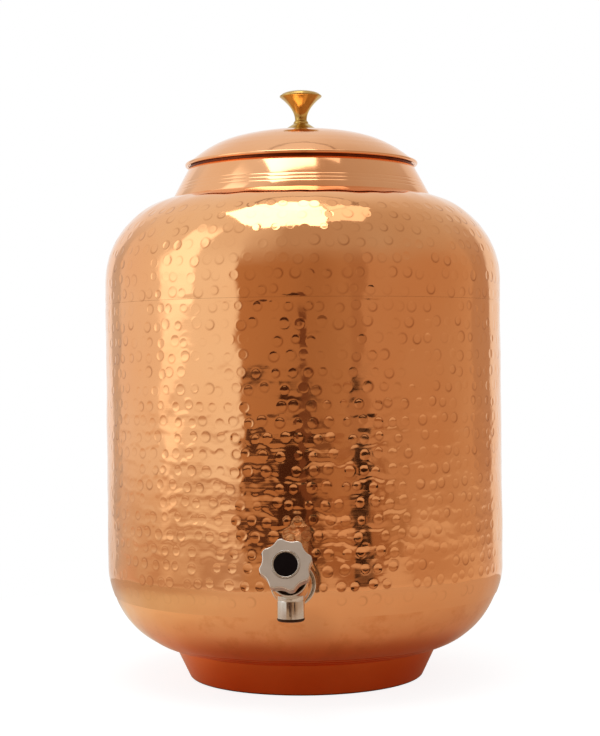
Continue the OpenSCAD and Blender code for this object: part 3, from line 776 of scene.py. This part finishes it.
def sheetRidges(size, marks, turn, way):  # the level ridges left between the rows, in patches
    place = (way - size["rows"][0]) / size["pitch"] * 2 * math.pi + 4 * sheetNoise(marks, 2 * turn, way)
    rows = 0.35 * np.cos(2 * place) - np.cos(place)
    patch = 0.2 + easeStep(-0.15, 0.22, sheetNoise(marks, 4 * turn + 2, 2.5 * way))
    band = (0.2 + 0.8 * bandStep(size["ridgeBand"], way)) * bandStep(size["ridgeEnds"], way)
    return rows * patch * band * size["ridge"]


strikes = strike(hammer)
faintStrikes = strike(faintMarks)


def sheetLift(turn, way, edges):  # how far the finished skin stands off the plain outline
    dent, lip = hammerMarks(hammer, strikes, turn, way)
    lift = lip - dent + sheetNoise(strikes, turn, way) * hammer["wave"]
    lift = lift + sheetRidges(hammer, strikes, turn, way)
    hold = bandStep((edges[0], edges[0] + hammer["hold"], edges[1] - hammer["hold"], edges[1]), way)
    tapAway = np.hypot(outline["radius"] * np.cos(turn), way - tapPlace.z)
    hold = hold * np.where(np.sin(turn) < 0, easeStep(*hammer["tapClear"], tapAway), 1.0)
    feather = hammer["feather"] * (1 - easeStep(seamWay, seamWay + hammer["featherUp"], way))
    return lift * hold - feather, dent * hold


def hammeredSheet(name, outer, inner, first, last, columns, edges, node):
    loop = np.array(outer + inner + outer[:1])
    rows = len(loop) - 1
    bm = bmesh.new()
    bmesh.ops.create_grid(bm, x_segments=columns, y_segments=rows, size=1)
    ends = []
    for vert in bm.verts:  # across the grid goes round the drum, up the grid goes along the profile
        turn = first + (last - first) * (vert.co.x + 1) / 2
        row = round((vert.co.y + 1) / 2 * rows)
        r, z = loop[row]
        vert.co = (r * math.cos(turn), r * math.sin(turn), z)
        if row in (0, rows):
            ends.append(vert)
    bmesh.ops.remove_doubles(bm, verts=ends, dist=weld["rolled"])
    openTap(bm)
    bmesh.ops.holes_fill(bm, edges=[edge for edge in bm.edges if edge.is_boundary], sides=0)
    bmesh.ops.recalc_face_normals(bm, faces=bm.faces)
    for face in bm.faces:
        face.smooth = True
    mesh = bpy.data.meshes.new(name)
    bm.to_mesh(mesh)
    bm.free()
    place = skinPlaces(mesh)
    r, z = np.hypot(place[:, 0], place[:, 1]), place[:, 2]
    turn = np.arctan2(place[:, 1], place[:, 0])
    way, outward, upright = sheetStation(r, z)
    lowSkin = np.hypot(r - cornerC, z - cornerZ) - outline["cornerR"]
    highSkin = np.hypot(r - shoulderC, z - shoulderZ) - outline["shoulderR"]
    skin = np.where(z < cornerZ, lowSkin, np.where(z > shoulderZ, highSkin, r - outline["radius"]))
    outside = skin > -outline["sheet"] / 2

    def lifted(turnStep, wayStep):
        return sheetLift(turn + turnStep, way + wayStep, edges)[0]

    lift, dent = sheetLift(turn, way, edges)
    step = 0.0001
    riseSlope = (lifted(0, step) - lifted(0, -step)) / (2 * step)
    sideSlope = (lifted(step / r, 0) - lifted(-step / r, 0)) / (2 * step)
    edge = markEdges(hammer, strikes, turn, way) * outside
    face = np.stack([outward * np.cos(turn), outward * np.sin(turn), upright], 1)
    rise = np.stack([-upright * np.cos(turn), -upright * np.sin(turn), outward], 1)
    side = np.stack([-np.sin(turn), np.cos(turn), np.zeros_like(turn)], 1)
    place += face * (lift * outside)[:, None]
    lean = face - rise * riseSlope[:, None] - side * sideSlope[:, None]
    lean /= np.linalg.norm(lean, axis=1)[:, None]
    lean = np.where(outside[:, None], lean, -face)
    mesh.vertices.foreach_set("co", place.ravel())
    # edge carries the painted shade line round each mark
    marked = {"dent": dent * outside / hammer["depth"][1], "edge": edge, "inside": 1.0 - outside}
    for label, values in marked.items():
        layer = mesh.attributes.new(label, "FLOAT", "POINT")
        layer.data.foreach_set("value", values.astype(np.float32))
    mesh.normals_split_custom_set_from_vertices(lean.tolist())
    register(name, mesh, "vessel", ["hammered_copper"], node)


def addSectors(name, size, outer, inner, edges, node):
    sweep = 2 * math.pi / size["sectors"]
    columns = round(outline["radius"] * sweep / size["grid"])
    for i in range(size["sectors"]):
        first = size["from"] + (i + size["shift"]) * sweep
        hammeredSheet(f"{name}{i + 1}", outer, inner, first, first + sweep, columns, edges, node)


tapHole = {"radius": 0.0086, "band": 0.013}


def openTap(bm):  # the hole for the tap's shank, under the flange and the gaskets
    def off(point):
        return math.hypot(point.x, point.z - tapPlace.z) if point.y < 0 else 1.0

    holed = [face for face in bm.faces if off(face.calc_center_median()) < tapHole["radius"]]
    if not holed:
        return
    bmesh.ops.delete(bm, geom=holed, context="FACES")
    rim = [edge for edge in bm.edges if edge.is_boundary
           and off((edge.verts[0].co + edge.verts[1].co) / 2) < tapHole["band"]]
    bmesh.ops.bridge_loops(bm, edges=rim)


drum = {"grid": 0.0006, "innerGrid": 0.008, "sectors": 5, "from": -math.pi / 2, "shift": -0.5, "under": 0.002}


def addDrum():
    radius, sheet, corner = pick(outline, "radius sheet cornerR")
    outer = arcPoints(cornerC, cornerZ, corner, seamTurn, 0, drum["grid"])
    outer += straightPoints(radius, cornerZ, drumHigh.z, drum["grid"])[1:]
    inner = straightPoints(radius - sheet, drumHigh.z, cornerZ, drum["innerGrid"])[:-1]
    inner += arcPoints(cornerC, cornerZ, corner - sheet, 0, seamTurn, drum["innerGrid"])
    addSectors("drumSheet", drum, outer, inner, (seamWay - drum["under"], drumHigh.z), "body_drum")


shoulder = {"grid": 0.0006, "innerGrid": 0.008, "sectors": 3, "from": math.pi, "shift": 0,
            "lipLean": 0.53, "lipGap": 0.0002}


def addShoulder():
    sheet, radius, bend = pick(outline, "sheet radius shoulderR")
    lipR = neckHigh.x - sheet - shoulder["lipGap"]
    lipTurn = math.degrees(math.acos((lipR - shoulderC) / bend))
    lipInTurn = math.degrees(math.acos((lipR - sheet - shoulderC) / (bend - sheet)))
    lipZ = shoulderZ + bend * math.sin(math.radians(lipTurn))
    lipIn = shoulder["lipLean"] * (shoulderHigh.z - lipZ)
    outer = straightPoints(radius, shoulderLow.z, shoulderZ, shoulder["grid"])[:-1]
    outer += arcPoints(shoulderC, shoulderZ, bend, 0, lipTurn, shoulder["grid"])
    inner = [(lipR - lipIn, shoulderHigh.z), (lipR - lipIn - sheet, shoulderHigh.z)]
    inner += arcPoints(shoulderC, shoulderZ, bend - sheet, lipInTurn, 0, shoulder["innerGrid"])
    inner.append((radius - sheet, shoulderLow.z))
    top = shoulderZ + bend * math.radians(lipTurn)
    addSectors("shoulderSheet", shoulder, outer, inner, (shoulderLow.z, top), "shoulder_shell")


addDrum()
addShoulder()
print("hammered sheets:", strikes["count"], "rows of marks")

bowl = {"grid": 0.0012, "inner": 3, "steps": 480, "lap": 0.0065,
        "rings": (-71, -66.5, -62), "ringWide": 0.5, "ringDeep": 0.00018,
        "waveFrom": (0.078, 0.090), "waveEnd": (0.004, 0.001)}


def addBowl():
    sheet, grid = outline["sheet"], bowl["grid"]
    topTurn = seamTurn + math.degrees(bowl["lap"] / outline["cornerR"])
    points = [(0, bowlLow.z)]
    first = -90
    for ring in bowl["rings"]:  # fine turned lines above the foot
        points += arcPoints(cornerC, cornerZ, bowlR, first, ring - bowl["ringWide"], grid)
        points += arcPoints(cornerC, cornerZ, bowlR - bowl["ringDeep"], ring, ring, grid)[:1]
        first = ring + bowl["ringWide"]
    points += arcPoints(cornerC, cornerZ, bowlR, first, topTurn, grid)
    points += arcPoints(cornerC, cornerZ, bowlR - sheet, topTurn, -90, grid * bowl["inner"])
    points.append((0, bowlLow.z + sheet))
    piece = addTurned("bowlShell", points, bowl["steps"], "vessel", "spun_copper", "base_bowl",
                      look="bowl", closed=False)
    moveSkin(piece, bowlLift)


def bowlLift(place):  # soft marks and a slight waviness, below the seam only
    r, z = np.hypot(place[:, 0], place[:, 1]), place[:, 2]
    turn = np.arctan2(place[:, 1], place[:, 0])
    way, outward, upright = sheetStation(r, z)
    dent = hammerMarks(faintMarks, faintStrikes, turn, way)[0]
    lift = sheetNoise(faintStrikes, turn, way) * faintMarks["wave"] - dent
    low, high = (drumLow.z - down for down in bowl["waveEnd"])
    lift = lift * easeStep(*bowl["waveFrom"], r) * (1 - easeStep(low, high, z))
    tapAway = np.hypot(place[:, 0], z - tapPlace.z)
    lift = lift * np.where(place[:, 1] < 0, easeStep(*hammer["tapClear"], tapAway), 1.0)
    return np.stack([outward * np.cos(turn), outward * np.sin(turn), upright], 1) * lift[:, None]


neck = {"steps": 360, "ringStart": 0.004, "ringPitch": 0.0022, "ringWide": 0.0008, "ringDeep": 0.0001,
        "rings": 3, "ringEdge": 0.00018, "topR": 0.0718, "edge": 0.0004, "gap": 0.0001, "under": 0.0002}


def addNeck():
    sheet, baseR, topR, topZ = outline["sheet"], neckHigh.x, neck["topR"], neckHigh.z + outline["rimUp"]
    fall = (baseR - topR) / (topZ - neckLow.z)
    footZ = shoulderZ + math.sqrt(outline["shoulderR"] ** 2 - (baseR - shoulderC) ** 2) + neck["gap"]
    lowZ = footZ - neck["under"]
    points = [(baseR - sheet, lowZ), (baseR, lowZ, 0.0003)]
    for i in range(neck["rings"]):
        points += groovePoints(lambda z: baseR - fall * (z - footZ),
                               footZ + neck["ringStart"] + i * neck["ringPitch"],
                               neck["ringWide"], neck["ringDeep"], neck["ringEdge"])
    points += [(topR, topZ, neck["edge"]), (topR - sheet, topZ, neck["edge"])]
    addTurned("neckCollar", points, neck["steps"], "vessel", "spun_copper", "neck_collar")


foot = {"steps": 256, "baseR": 0.0735, "topR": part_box("foot_ring")[1].x, "sheet": 0.0012, "edge": 0.0015,
        "faceR": 0.0675, "into": 0.0003}


def addFoot():
    sheet, topR, baseR, faceR = pick(foot, "sheet topR baseR faceR")
    topZ, inZ = (cornerZ - math.sqrt(bowlR ** 2 - (r - cornerC) ** 2) + foot["into"]
                 for r in (topR, topR - sheet))
    lean = (topR - baseR) / topZ
    points = [(faceR, 0), (baseR, 0, foot["edge"]), (topR, topZ, 0.0002), (topR - sheet, inZ),
              (baseR + lean * sheet - sheet, sheet, 0.0006), (faceR, sheet)]
    addTurned("footRing", points, foot["steps"], "vessel", "spun_copper", "foot_ring", look="foot")


lidLow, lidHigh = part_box("lid_dome")
lid = {"steps": 360, "rise": 0.023, "power": 3.2, "bead": 0.0011, "crownR": 0.012, "sheet": 0.001, "rows": 60,
       "rollIn": 0.35, "roll": (62, -205), "rollGrid": 0.0002, "screwR": 0.0022,
       "waves": 14, "waveTurn": 110, "wave": 0.00032, "ripples": (0.0061, 0.0043), "ripple": 0.000018,
       "dents": 90, "dentR": 0.0032, "dentDeep": 0.00004, "dentBand": (0.3, 0.93),
       "holdIn": 0.010, "holdOut": (0.006, 0.001), "seed": 41}
lidEdgeR = lidHigh.x - lid["bead"]
lidEdgeZ = lidLow.z + lid["bead"] + outline["rimUp"]
lidRise = lid["rise"] - outline["rimUp"]


def lidTop(r):
    return lidEdgeZ + lidRise - lidRise * (r / lidEdgeR) ** lid["power"]


def lidUnder(r):
    slope = lidRise * lid["power"] / lidEdgeR * (r / lidEdgeR) ** (lid["power"] - 1)
    return lidTop(r) - lid["sheet"] * math.sqrt(1 + slope * slope)


def addLid():
    crownR, screwR, crownZ = lid["crownR"], lid["screwR"], lidTop(lid["crownR"])
    endR = lidEdgeR - lid["bead"] * lid["rollIn"]
    radii = [crownR + (endR - crownR) * i / lid["rows"] for i in range(lid["rows"] + 1)]
    points = [(screwR, crownZ)] + [(r, lidTop(r)) for r in radii]
    points += arcPoints(lidEdgeR, lidEdgeZ, lid["bead"], *lid["roll"], lid["rollGrid"])
    points += [(r, lidUnder(r)) for r in reversed(radii[:-3])] + [(screwR, crownZ - lid["sheet"])]
    piece = addTurned("lidDome", points, lid["steps"], "lid", "spun_copper", "lid_dome")
    moveSkin(piece, lidLift)


def lidLift(place):  # hand-finished sheet: slow waves, fine rings from the spinning and faint dents
    chance = np.random.default_rng(lid["seed"])
    r = np.hypot(place[:, 0], place[:, 1])
    lift = np.zeros(len(place))
    for _ in range(lid["waves"]):
        across, along = chance.normal(0, lid["waveTurn"], 2)
        phase = chance.uniform(0, 2 * math.pi)
        lift += np.sin(across * place[:, 0] + along * place[:, 1] + phase) / lid["waves"]
    long, short = lid["ripples"]
    rings = np.sin(r * 2 * math.pi / long + 1) + 0.7 * np.sin(r * 2 * math.pi / short)
    dents = np.zeros(len(place))
    for _ in range(lid["dents"]):
        turn, far = chance.uniform(0, 2 * math.pi), lidEdgeR * chance.uniform(*lid["dentBand"]) ** 0.5
        away = np.hypot(place[:, 0] - far * math.cos(turn), place[:, 1] - far * math.sin(turn))
        dents = np.maximum(dents, chance.uniform(0.3, 1) * np.clip(1 - (away / lid["dentR"]) ** 2, 0, 1))
    low, high = (lidEdgeR - back for back in lid["holdOut"])
    hold = bandStep((lid["crownR"], lid["crownR"] + lid["holdIn"], low, high), r)
    shift = np.zeros_like(place)
    shift[:, 2] = (lift * lid["wave"] + rings * lid["ripple"] - dents * lid["dentDeep"]) * hold
    return shift


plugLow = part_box("lid_plug_ring")[0]
plug = {"steps": 256, "radius": 0.0702, "wall": 0.001, "seatR": 0.0713, "seatH": 0.0013, "gap": 0.0001}


def addPlug():
    outR, wall, seatR, gap = pick(plug, "radius wall seatR gap")
    inR = outR - wall
    seatTop = lidEdgeZ - lid["bead"] - gap
    seatLow = seatTop - plug["seatH"]
    points = [(inR, plugLow.z, 0.0003), (outR, plugLow.z, 0.0003), (outR, seatLow), (seatR, seatLow),
              (seatR, seatTop), (outR, seatTop), (outR, lidUnder(outR) - gap), (inR, lidUnder(inR) - gap)]
    # the seat takes the painted shadow finish
    addTurned("lidPlug", points, plug["steps"], "lid", "spun_copper", "lid_plug_ring", look="seat")


knobLow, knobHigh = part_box("lid_knob")
lidKnob = {"steps": 128, "footR": 0.0113, "edgeH": 0.0012,
           "coneH": 0.0039, "coneOut": 0.0008, "coneDrop": 0.0001,
           "collarR": 0.0048, "collarUp": 0.0003, "collarH": 0.0013, "neckH": 0.0015,
           "waistR": 0.0038, "waistDrop": 0.0004, "flareH": 0.0147, "flarePower": 2.0, "flareRows": 24,
           "rimR": knobHigh.x, "rimH": 0.0008, "crownIn": 0.0008, "crownH": 0.0032, "crownRows": 16,
           "screwR": 0.00205, "screwIn": 0.0125}


def addLidKnob():
    size, base = lidKnob, knobLow.z
    footR, collarR, waistR, rimR = pick(size, "footR collarR waistR rimR")
    collarZ = base + size["edgeH"] + size["coneH"]
    waistZ = collarZ + size["collarH"] + size["neckH"]
    crownZ = waistZ + size["flareH"] + size["rimH"]
    points = [(0, base + size["screwIn"]), (size["screwR"], base + size["screwIn"]), (size["screwR"], base),
              (footR, base, 0.0003), (footR, base + size["edgeH"], 0.0004),
              (collarR + size["coneOut"], collarZ - size["coneDrop"], 0.0006),
              (collarR, collarZ + size["collarUp"], 0.0003), (collarR, collarZ + size["collarH"], 0.0006),
              (waistR, waistZ - size["waistDrop"], 0.0005)]
    for i in range(1, size["flareRows"] + 1):
        share = i / size["flareRows"]
        r = waistR + (rimR - waistR) * share ** size["flarePower"]
        points.append((r, waistZ + size["flareH"] * share))
    points[-1] = (*points[-1], 0.0003)
    points.append((rimR, crownZ, 0.0003))
    for i in range(1, size["crownRows"] + 1):
        turn = math.pi / 2 * i / size["crownRows"]
        points.append(((rimR - size["crownIn"]) * math.cos(turn), crownZ + size["crownH"] * math.sin(turn)))
    addTurned("lidKnob", points, size["steps"], "lid", "turned_brass", "lid_knob", closed=False)


addBowl()
addNeck()
addFoot()
addLid()
addPlug()
addLidKnob()
print("smooth copper and lid")


# tap: pieces turned about the valve's axis, the shank or the spout
def turnedPlace(centre, axis):
    return Matrix.Translation(centre) @ axis.to_track_quat("Z", "Y").to_matrix().to_4x4()


valveAxis = Vector(joints["knob_turn"]["axis"]).normalized()
valveSlope = math.asin(valveAxis.z)
valvePlace = turnedPlace(tapPlace, valveAxis)
shankPlace = turnedPlace((0, -outline["radius"], tapPlace.z), Vector((0, -1, 0)))

tapFlange = {"steps": 160, "boreR": 0.0082, "rimR": 0.0129, "near": 0.002, "far": 0.005, "rimT": 0.0014,
             "rimW": 0.0014, "hollowT": 0.0007, "bellR": 0.009, "bellT": 0.0006, "bellH": 0.005}


def addFlange():
    size = tapFlange
    boreR, rimR, bellR, near, far = pick(size, "boreR rimR bellR near far")
    hollowR, bellZ = rimR - size["rimW"], far + size["bellH"]
    points = [(boreR, near), (rimR, near, 0.0003), (rimR, near + size["rimT"], 0.0006),
              (hollowR, near + size["rimT"], 0.0003), (hollowR, near + size["hollowT"], 0.0002),
              (bellR + size["bellT"], bellZ, 0.0003), (bellR, bellZ), (bellR, far), (boreR, far)]
    addTurned("tapFlange", points, size["steps"], "vessel", "tap_chrome", "tap_flange", shankPlace)


tapBody = {"steps": 128, "grid": 0.0006, "ballR": 0.0104, "ballEnd": 22,
           "barrelR": 0.0096, "barrelUp": 0.0012, "chamberR": 0.007, "seat": -0.002, "seatH": 0.003,
           "front": 0.015, "inletR": 0.004,
           "shankR": 0.008, "shankEnd": -0.015, "chamfer": 0.0006, "thread": 0.0015, "threadDeep": 0.00055,
           "threadFrom": 0.0008, "threadTo": -0.001, "flangeFar": 0.005,
           "neckR": 0.0088, "bend": 0.017, "bendFrom": 0.0085, "bendTo": 0.0055, "bendOut": 0.0004}


def addTapBody():
    size = tapBody
    inletR, chamberR, shankR, neckR = pick(size, "inletR chamberR shankR neckR")
    front, seat, shankEnd = pick(size, "front seat shankEnd")
    inletEnd = seat - size["seatH"]
    bendFrom, bendTo = size["bend"] - size["bendFrom"], size["bend"] - size["bendTo"]
    ball = arcPoints(0, 0, size["ballR"], -90, size["ballEnd"], size["grid"])
    housing = [(0.0, -size["ballR"])] + ball[1:] + [
        (size["barrelR"], ball[-1][1] + size["barrelUp"], 0.0006), (size["barrelR"], front, 0.0004),
        (chamberR, front), (chamberR, seat), (inletR, seat), (inletR, inletEnd), (0.0, inletEnd)]
    shank = [(inletR, shankEnd), (shankR - size["chamfer"], shankEnd, 0.0003)]
    for i in range(int(-shankEnd / size["thread"]) - 1):
        z = shankEnd + size["threadFrom"] + i * size["thread"]
        shank += [(shankR - size["threadDeep"], z, 0.0002), (shankR, z + size["thread"] / 2, 0.0002)]
    shank += [(shankR, size["threadTo"]), (shankR, size["flangeFar"]), (neckR, size["flangeFar"], 0.0002),
              (neckR, bendFrom, 0.002), (neckR + size["bendOut"], bendTo), (inletR, bendTo)]
    bm = bmesh.new()
    lathe(bm, housing, size["steps"], False, valvePlace)
    lathe(bm, shank, size["steps"], True, shankPlace)
    addPiece("tapBody", bm, "vessel", ["tap_chrome"], "tap_body")


spoutLow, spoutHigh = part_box("spout_tube")
spout = {"steps": 128, "outerR": spoutHigh.x, "outletR": 0.0059, "outletH": 0.006, "passageR": 0.0045,
         "bury": 0.0090, "grooveZ": 0.0117, "grooveW": 0.0006, "grooveD": 0.0002, "edge": 0.0014,
         "lipH": 0.0002, "mouthH": 0.0019, "topBand": 0.0001}


def addSpout():
    size, low, high = spout, spoutLow.z, spoutHigh.z
    outerR, outletR, passageR = pick(size, "outerR outletR passageR")
    outletZ = low + size["outletH"]
    points = [(outletR, low, 0.0004), (outerR, low, size["edge"]), (outerR, low + size["mouthH"])]
    points += groovePoints(lambda z: outerR, low + size["grooveZ"], size["grooveW"], size["grooveD"], 0.0001)
    points += [(outerR, high), (passageR, high), (passageR, outletZ, 0.0003), (outletR, outletZ, 0.0004)]
    bm = bmesh.new()
    lathe(bm, points, size["steps"])
    bmesh.ops.translate(bm, verts=bm.verts, vec=(0, (spoutLow.y + spoutHigh.y) / 2, 0))
    for vert in bm.verts:  # the top follows the barrel's underside
        if vert.co.z > high - size["topBand"]:
            inset = math.sqrt(size["bury"] ** 2 - vert.co.x ** 2)
            ahead = (vert.co.y - tapPlace.y) * math.sin(valveSlope)
            vert.co.z = tapPlace.z - (inset + ahead) / math.cos(valveSlope)
    for face in bm.faces:  # painted shade: the mouth's edge is dark
        face.material_index = int(size["lipH"] < face.calc_center_median().z - low < size["mouthH"])
    addPiece("spoutTube", bm, "vessel", ["tap_chrome", "dark"], "spout_tube")


bonnet = {"steps": 144, "plug": 0.009, "front": 0.015, "rim": 0.022, "end": 0.024, "plugR": 0.00695,
          "rimR": 0.0104, "cupH": 0.005, "cupRim": 0.001, "cupLean": 0.0004,
          "glandR": 0.0066, "boreR": 0.00405, "ringR": 0.00555, "ringH": 0.00154,
          "darkIn": 0.0004, "darkDown": 0.0003}


def addBonnet():
    size = bonnet
    plugEnd, front, rim, end = pick(size, "plug front rim end")
    boreR, plugR, rimR, glandR, ringR = pick(size, "boreR plugR rimR glandR ringR")
    cupR, cupZ = rimR - size["cupRim"], rim - size["cupH"]
    ringLow, ringHigh = rim - size["ringH"] / 2, rim + size["ringH"] / 2
    points = [(boreR, plugEnd), (plugR, plugEnd, 0.0003), (plugR, front), (rimR, front, 0.0004),
              (rimR, rim, 0.0005), (cupR, rim, 0.0004), (cupR - size["cupLean"], cupZ, 0.0004),
              (glandR, cupZ, 0.0003), (glandR, end, 0.0005), (boreR, end),
              (boreR, ringHigh), (ringR, ringHigh), (ringR, ringLow), (boreR, ringLow)]
    bm = bmesh.new()
    lathe(bm, points, size["steps"])
    for face in bm.faces:  # painted shade: the cup round the gland is dark
        middle = face.calc_center_median()
        inCup = glandR - size["darkIn"] < math.hypot(middle.x, middle.y) < cupR
        face.material_index = int(inCup and middle.z > cupZ - size["darkDown"])
    addPiece("bonnetRing", bm, "vessel", ["tap_chrome", "dark"], "bonnet", valvePlace)


tapKnob = {"points": 240, "radius": 0.0142, "lobes": 8, "hollow": 0.0017, "hollowR": 0.0086, "turn": 14,
           "disc": 0.042, "face": 0.050, "edge": 0.0005, "polished": (0.25, 0.95), "soften": 3,
           "insets": (0.0001, 0.0003), "pocketR": 0.0078, "pocketH": 0.001,
           "hub": 0.025, "hubR": 0.008, "hubIn": 0.001, "hubSteps": 128, "boreR": 0.0045,
           "flare": 0.0035, "flareGrid": 0.0003}
sideways = valvePlace.to_3x3().inverted() @ Vector((0, 0, 1))
lobeStart = math.atan2(sideways.y, sideways.x) + math.radians(tapKnob["turn"])


def lobeReach(turn):  # the knob's radius before its corners are softened
    size, step = tapKnob, 2 * math.pi / tapKnob["lobes"]
    far = size["radius"] - size["hollow"] + size["hollowR"]
    part = (turn / step - math.floor(turn / step) - 0.5) * step
    side = far * math.sin(part)
    if abs(side) >= size["hollowR"]:
        return size["radius"]
    return min(size["radius"], far * math.cos(part) - math.sqrt(size["hollowR"] ** 2 - side ** 2))


def extrude(bm, faces, rise):
    grown = bmesh.ops.extrude_face_region(bm, geom=faces)["geom"]
    moved = [item for item in grown if isinstance(item, bmesh.types.BMVert)]
    bmesh.ops.translate(bm, verts=moved, vec=(0, 0, rise))


def addTapKnob():
    size = tapKnob
    hubR, flare, disc = pick(size, "hubR flare disc")
    bm = bmesh.new()
    made = bmesh.ops.create_circle(bm, cap_ends=True, segments=size["points"], radius=size["radius"])
    verts = made["verts"]
    reach = [lobeReach(math.atan2(vert.co.y, vert.co.x) - lobeStart) for vert in verts]
    for _ in range(size["soften"]):
        reach = [(reach[i - 1] + 2 * reach[i] + reach[(i + 1) % len(reach)]) / 4 for i in range(len(reach))]
    for vert, r in zip(verts, reach):
        vert.co *= r / vert.co.length
    bmesh.ops.translate(bm, verts=bm.verts, vec=(0, 0, disc))
    extrude(bm, bm.faces[:], size["face"] - disc)
    bmesh.ops.recalc_face_normals(bm, faces=bm.faces)
    edges = [edge for edge in bm.edges if abs(edge.verts[0].co.z - edge.verts[1].co.z) < 1e-6]
    bmesh.ops.bevel(bm, geom=edges, offset=size["edge"], offset_type="OFFSET", segments=5, profile=0.5,
                    affect="EDGES", material=-1)
    face = max(bm.faces, key=lambda item: item.calc_center_median().z)
    for inset in size["insets"]:
        bmesh.ops.inset_individual(bm, faces=[face], thickness=inset)
    for vert in face.verts:  # the lobed face ends at a round pocket for the cap
        vert.co.xy *= size["pocketR"] / vert.co.xy.length
    extrude(bm, [face], -size["pocketH"])
    bmesh.ops.delete(bm, geom=[face], context="FACES_ONLY")
    bmesh.ops.recalc_face_normals(bm, faces=bm.faces)
    low, high = size["polished"]
    for face in bm.faces:  # the bevelled edge is polished
        face.material_index = int(low < abs(face.normal.z) < high)
    hub = [(size["boreR"], size["hub"]), (hubR, size["hub"], 0.0007)]
    hub += arcPoints(hubR + flare, disc - flare, flare, 180, 90, size["flareGrid"])
    hub += [(hubR + flare, disc + size["hubIn"]), (size["boreR"], disc + size["hubIn"])]
    lathe(bm, hub, size["hubSteps"])
    addPiece("tapKnob", bm, "knob", ["satin_chrome", "tap_chrome"], "tap_knob", valvePlace)


knobBezel = {"steps": 144, "innerR": 0.0066, "outerR": 0.0076, "face": 0.050, "under": 0.001, "proud": 0.0005,
             "innerProud": 0.6, "grooveOut": 0.0002, "grooveIn": 0.0001}


def addBezel():
    size = knobBezel
    innerR, outerR, face = pick(size, "innerR outerR face")
    middle, low, high = (innerR + outerR) / 2, face - size["under"], face + size["proud"]
    innerHigh = face + size["proud"] * size["innerProud"]
    points = [(innerR, low), (outerR, low), (outerR, high, 0.0002),
              (middle + size["grooveOut"], high, 0.00015), (middle, face),
              (middle - size["grooveIn"], innerHigh, 0.0001), (innerR, innerHigh, 0.0002)]
    addTurned("knobBezel", points, size["steps"], "knob", "tap_chrome", "knob_bezel", valvePlace)


knobCap = {"steps": 144, "radius": 0.0064, "thick": 0.0013, "face": 0.050, "crown": 0.0002, "rows": 8}


def addCap():
    radius, face, crown, thick, rows = pick(knobCap, "radius face crown thick rows")
    points = [(0, face - thick), (radius, face - thick), (radius, face - crown, 0.0002)]
    points += [(radius * (1 - i / rows), face - crown * (1 - i / rows) ** 2) for i in range(1, rows + 1)]
    addTurned("knobCap", points, knobCap["steps"], "knob", "black_plastic", "knob_cap", valvePlace,
              closed=False)


addFlange()
addTapBody()
addSpout()
addBonnet()
addTapKnob()
addBezel()
addCap()
print("tap")
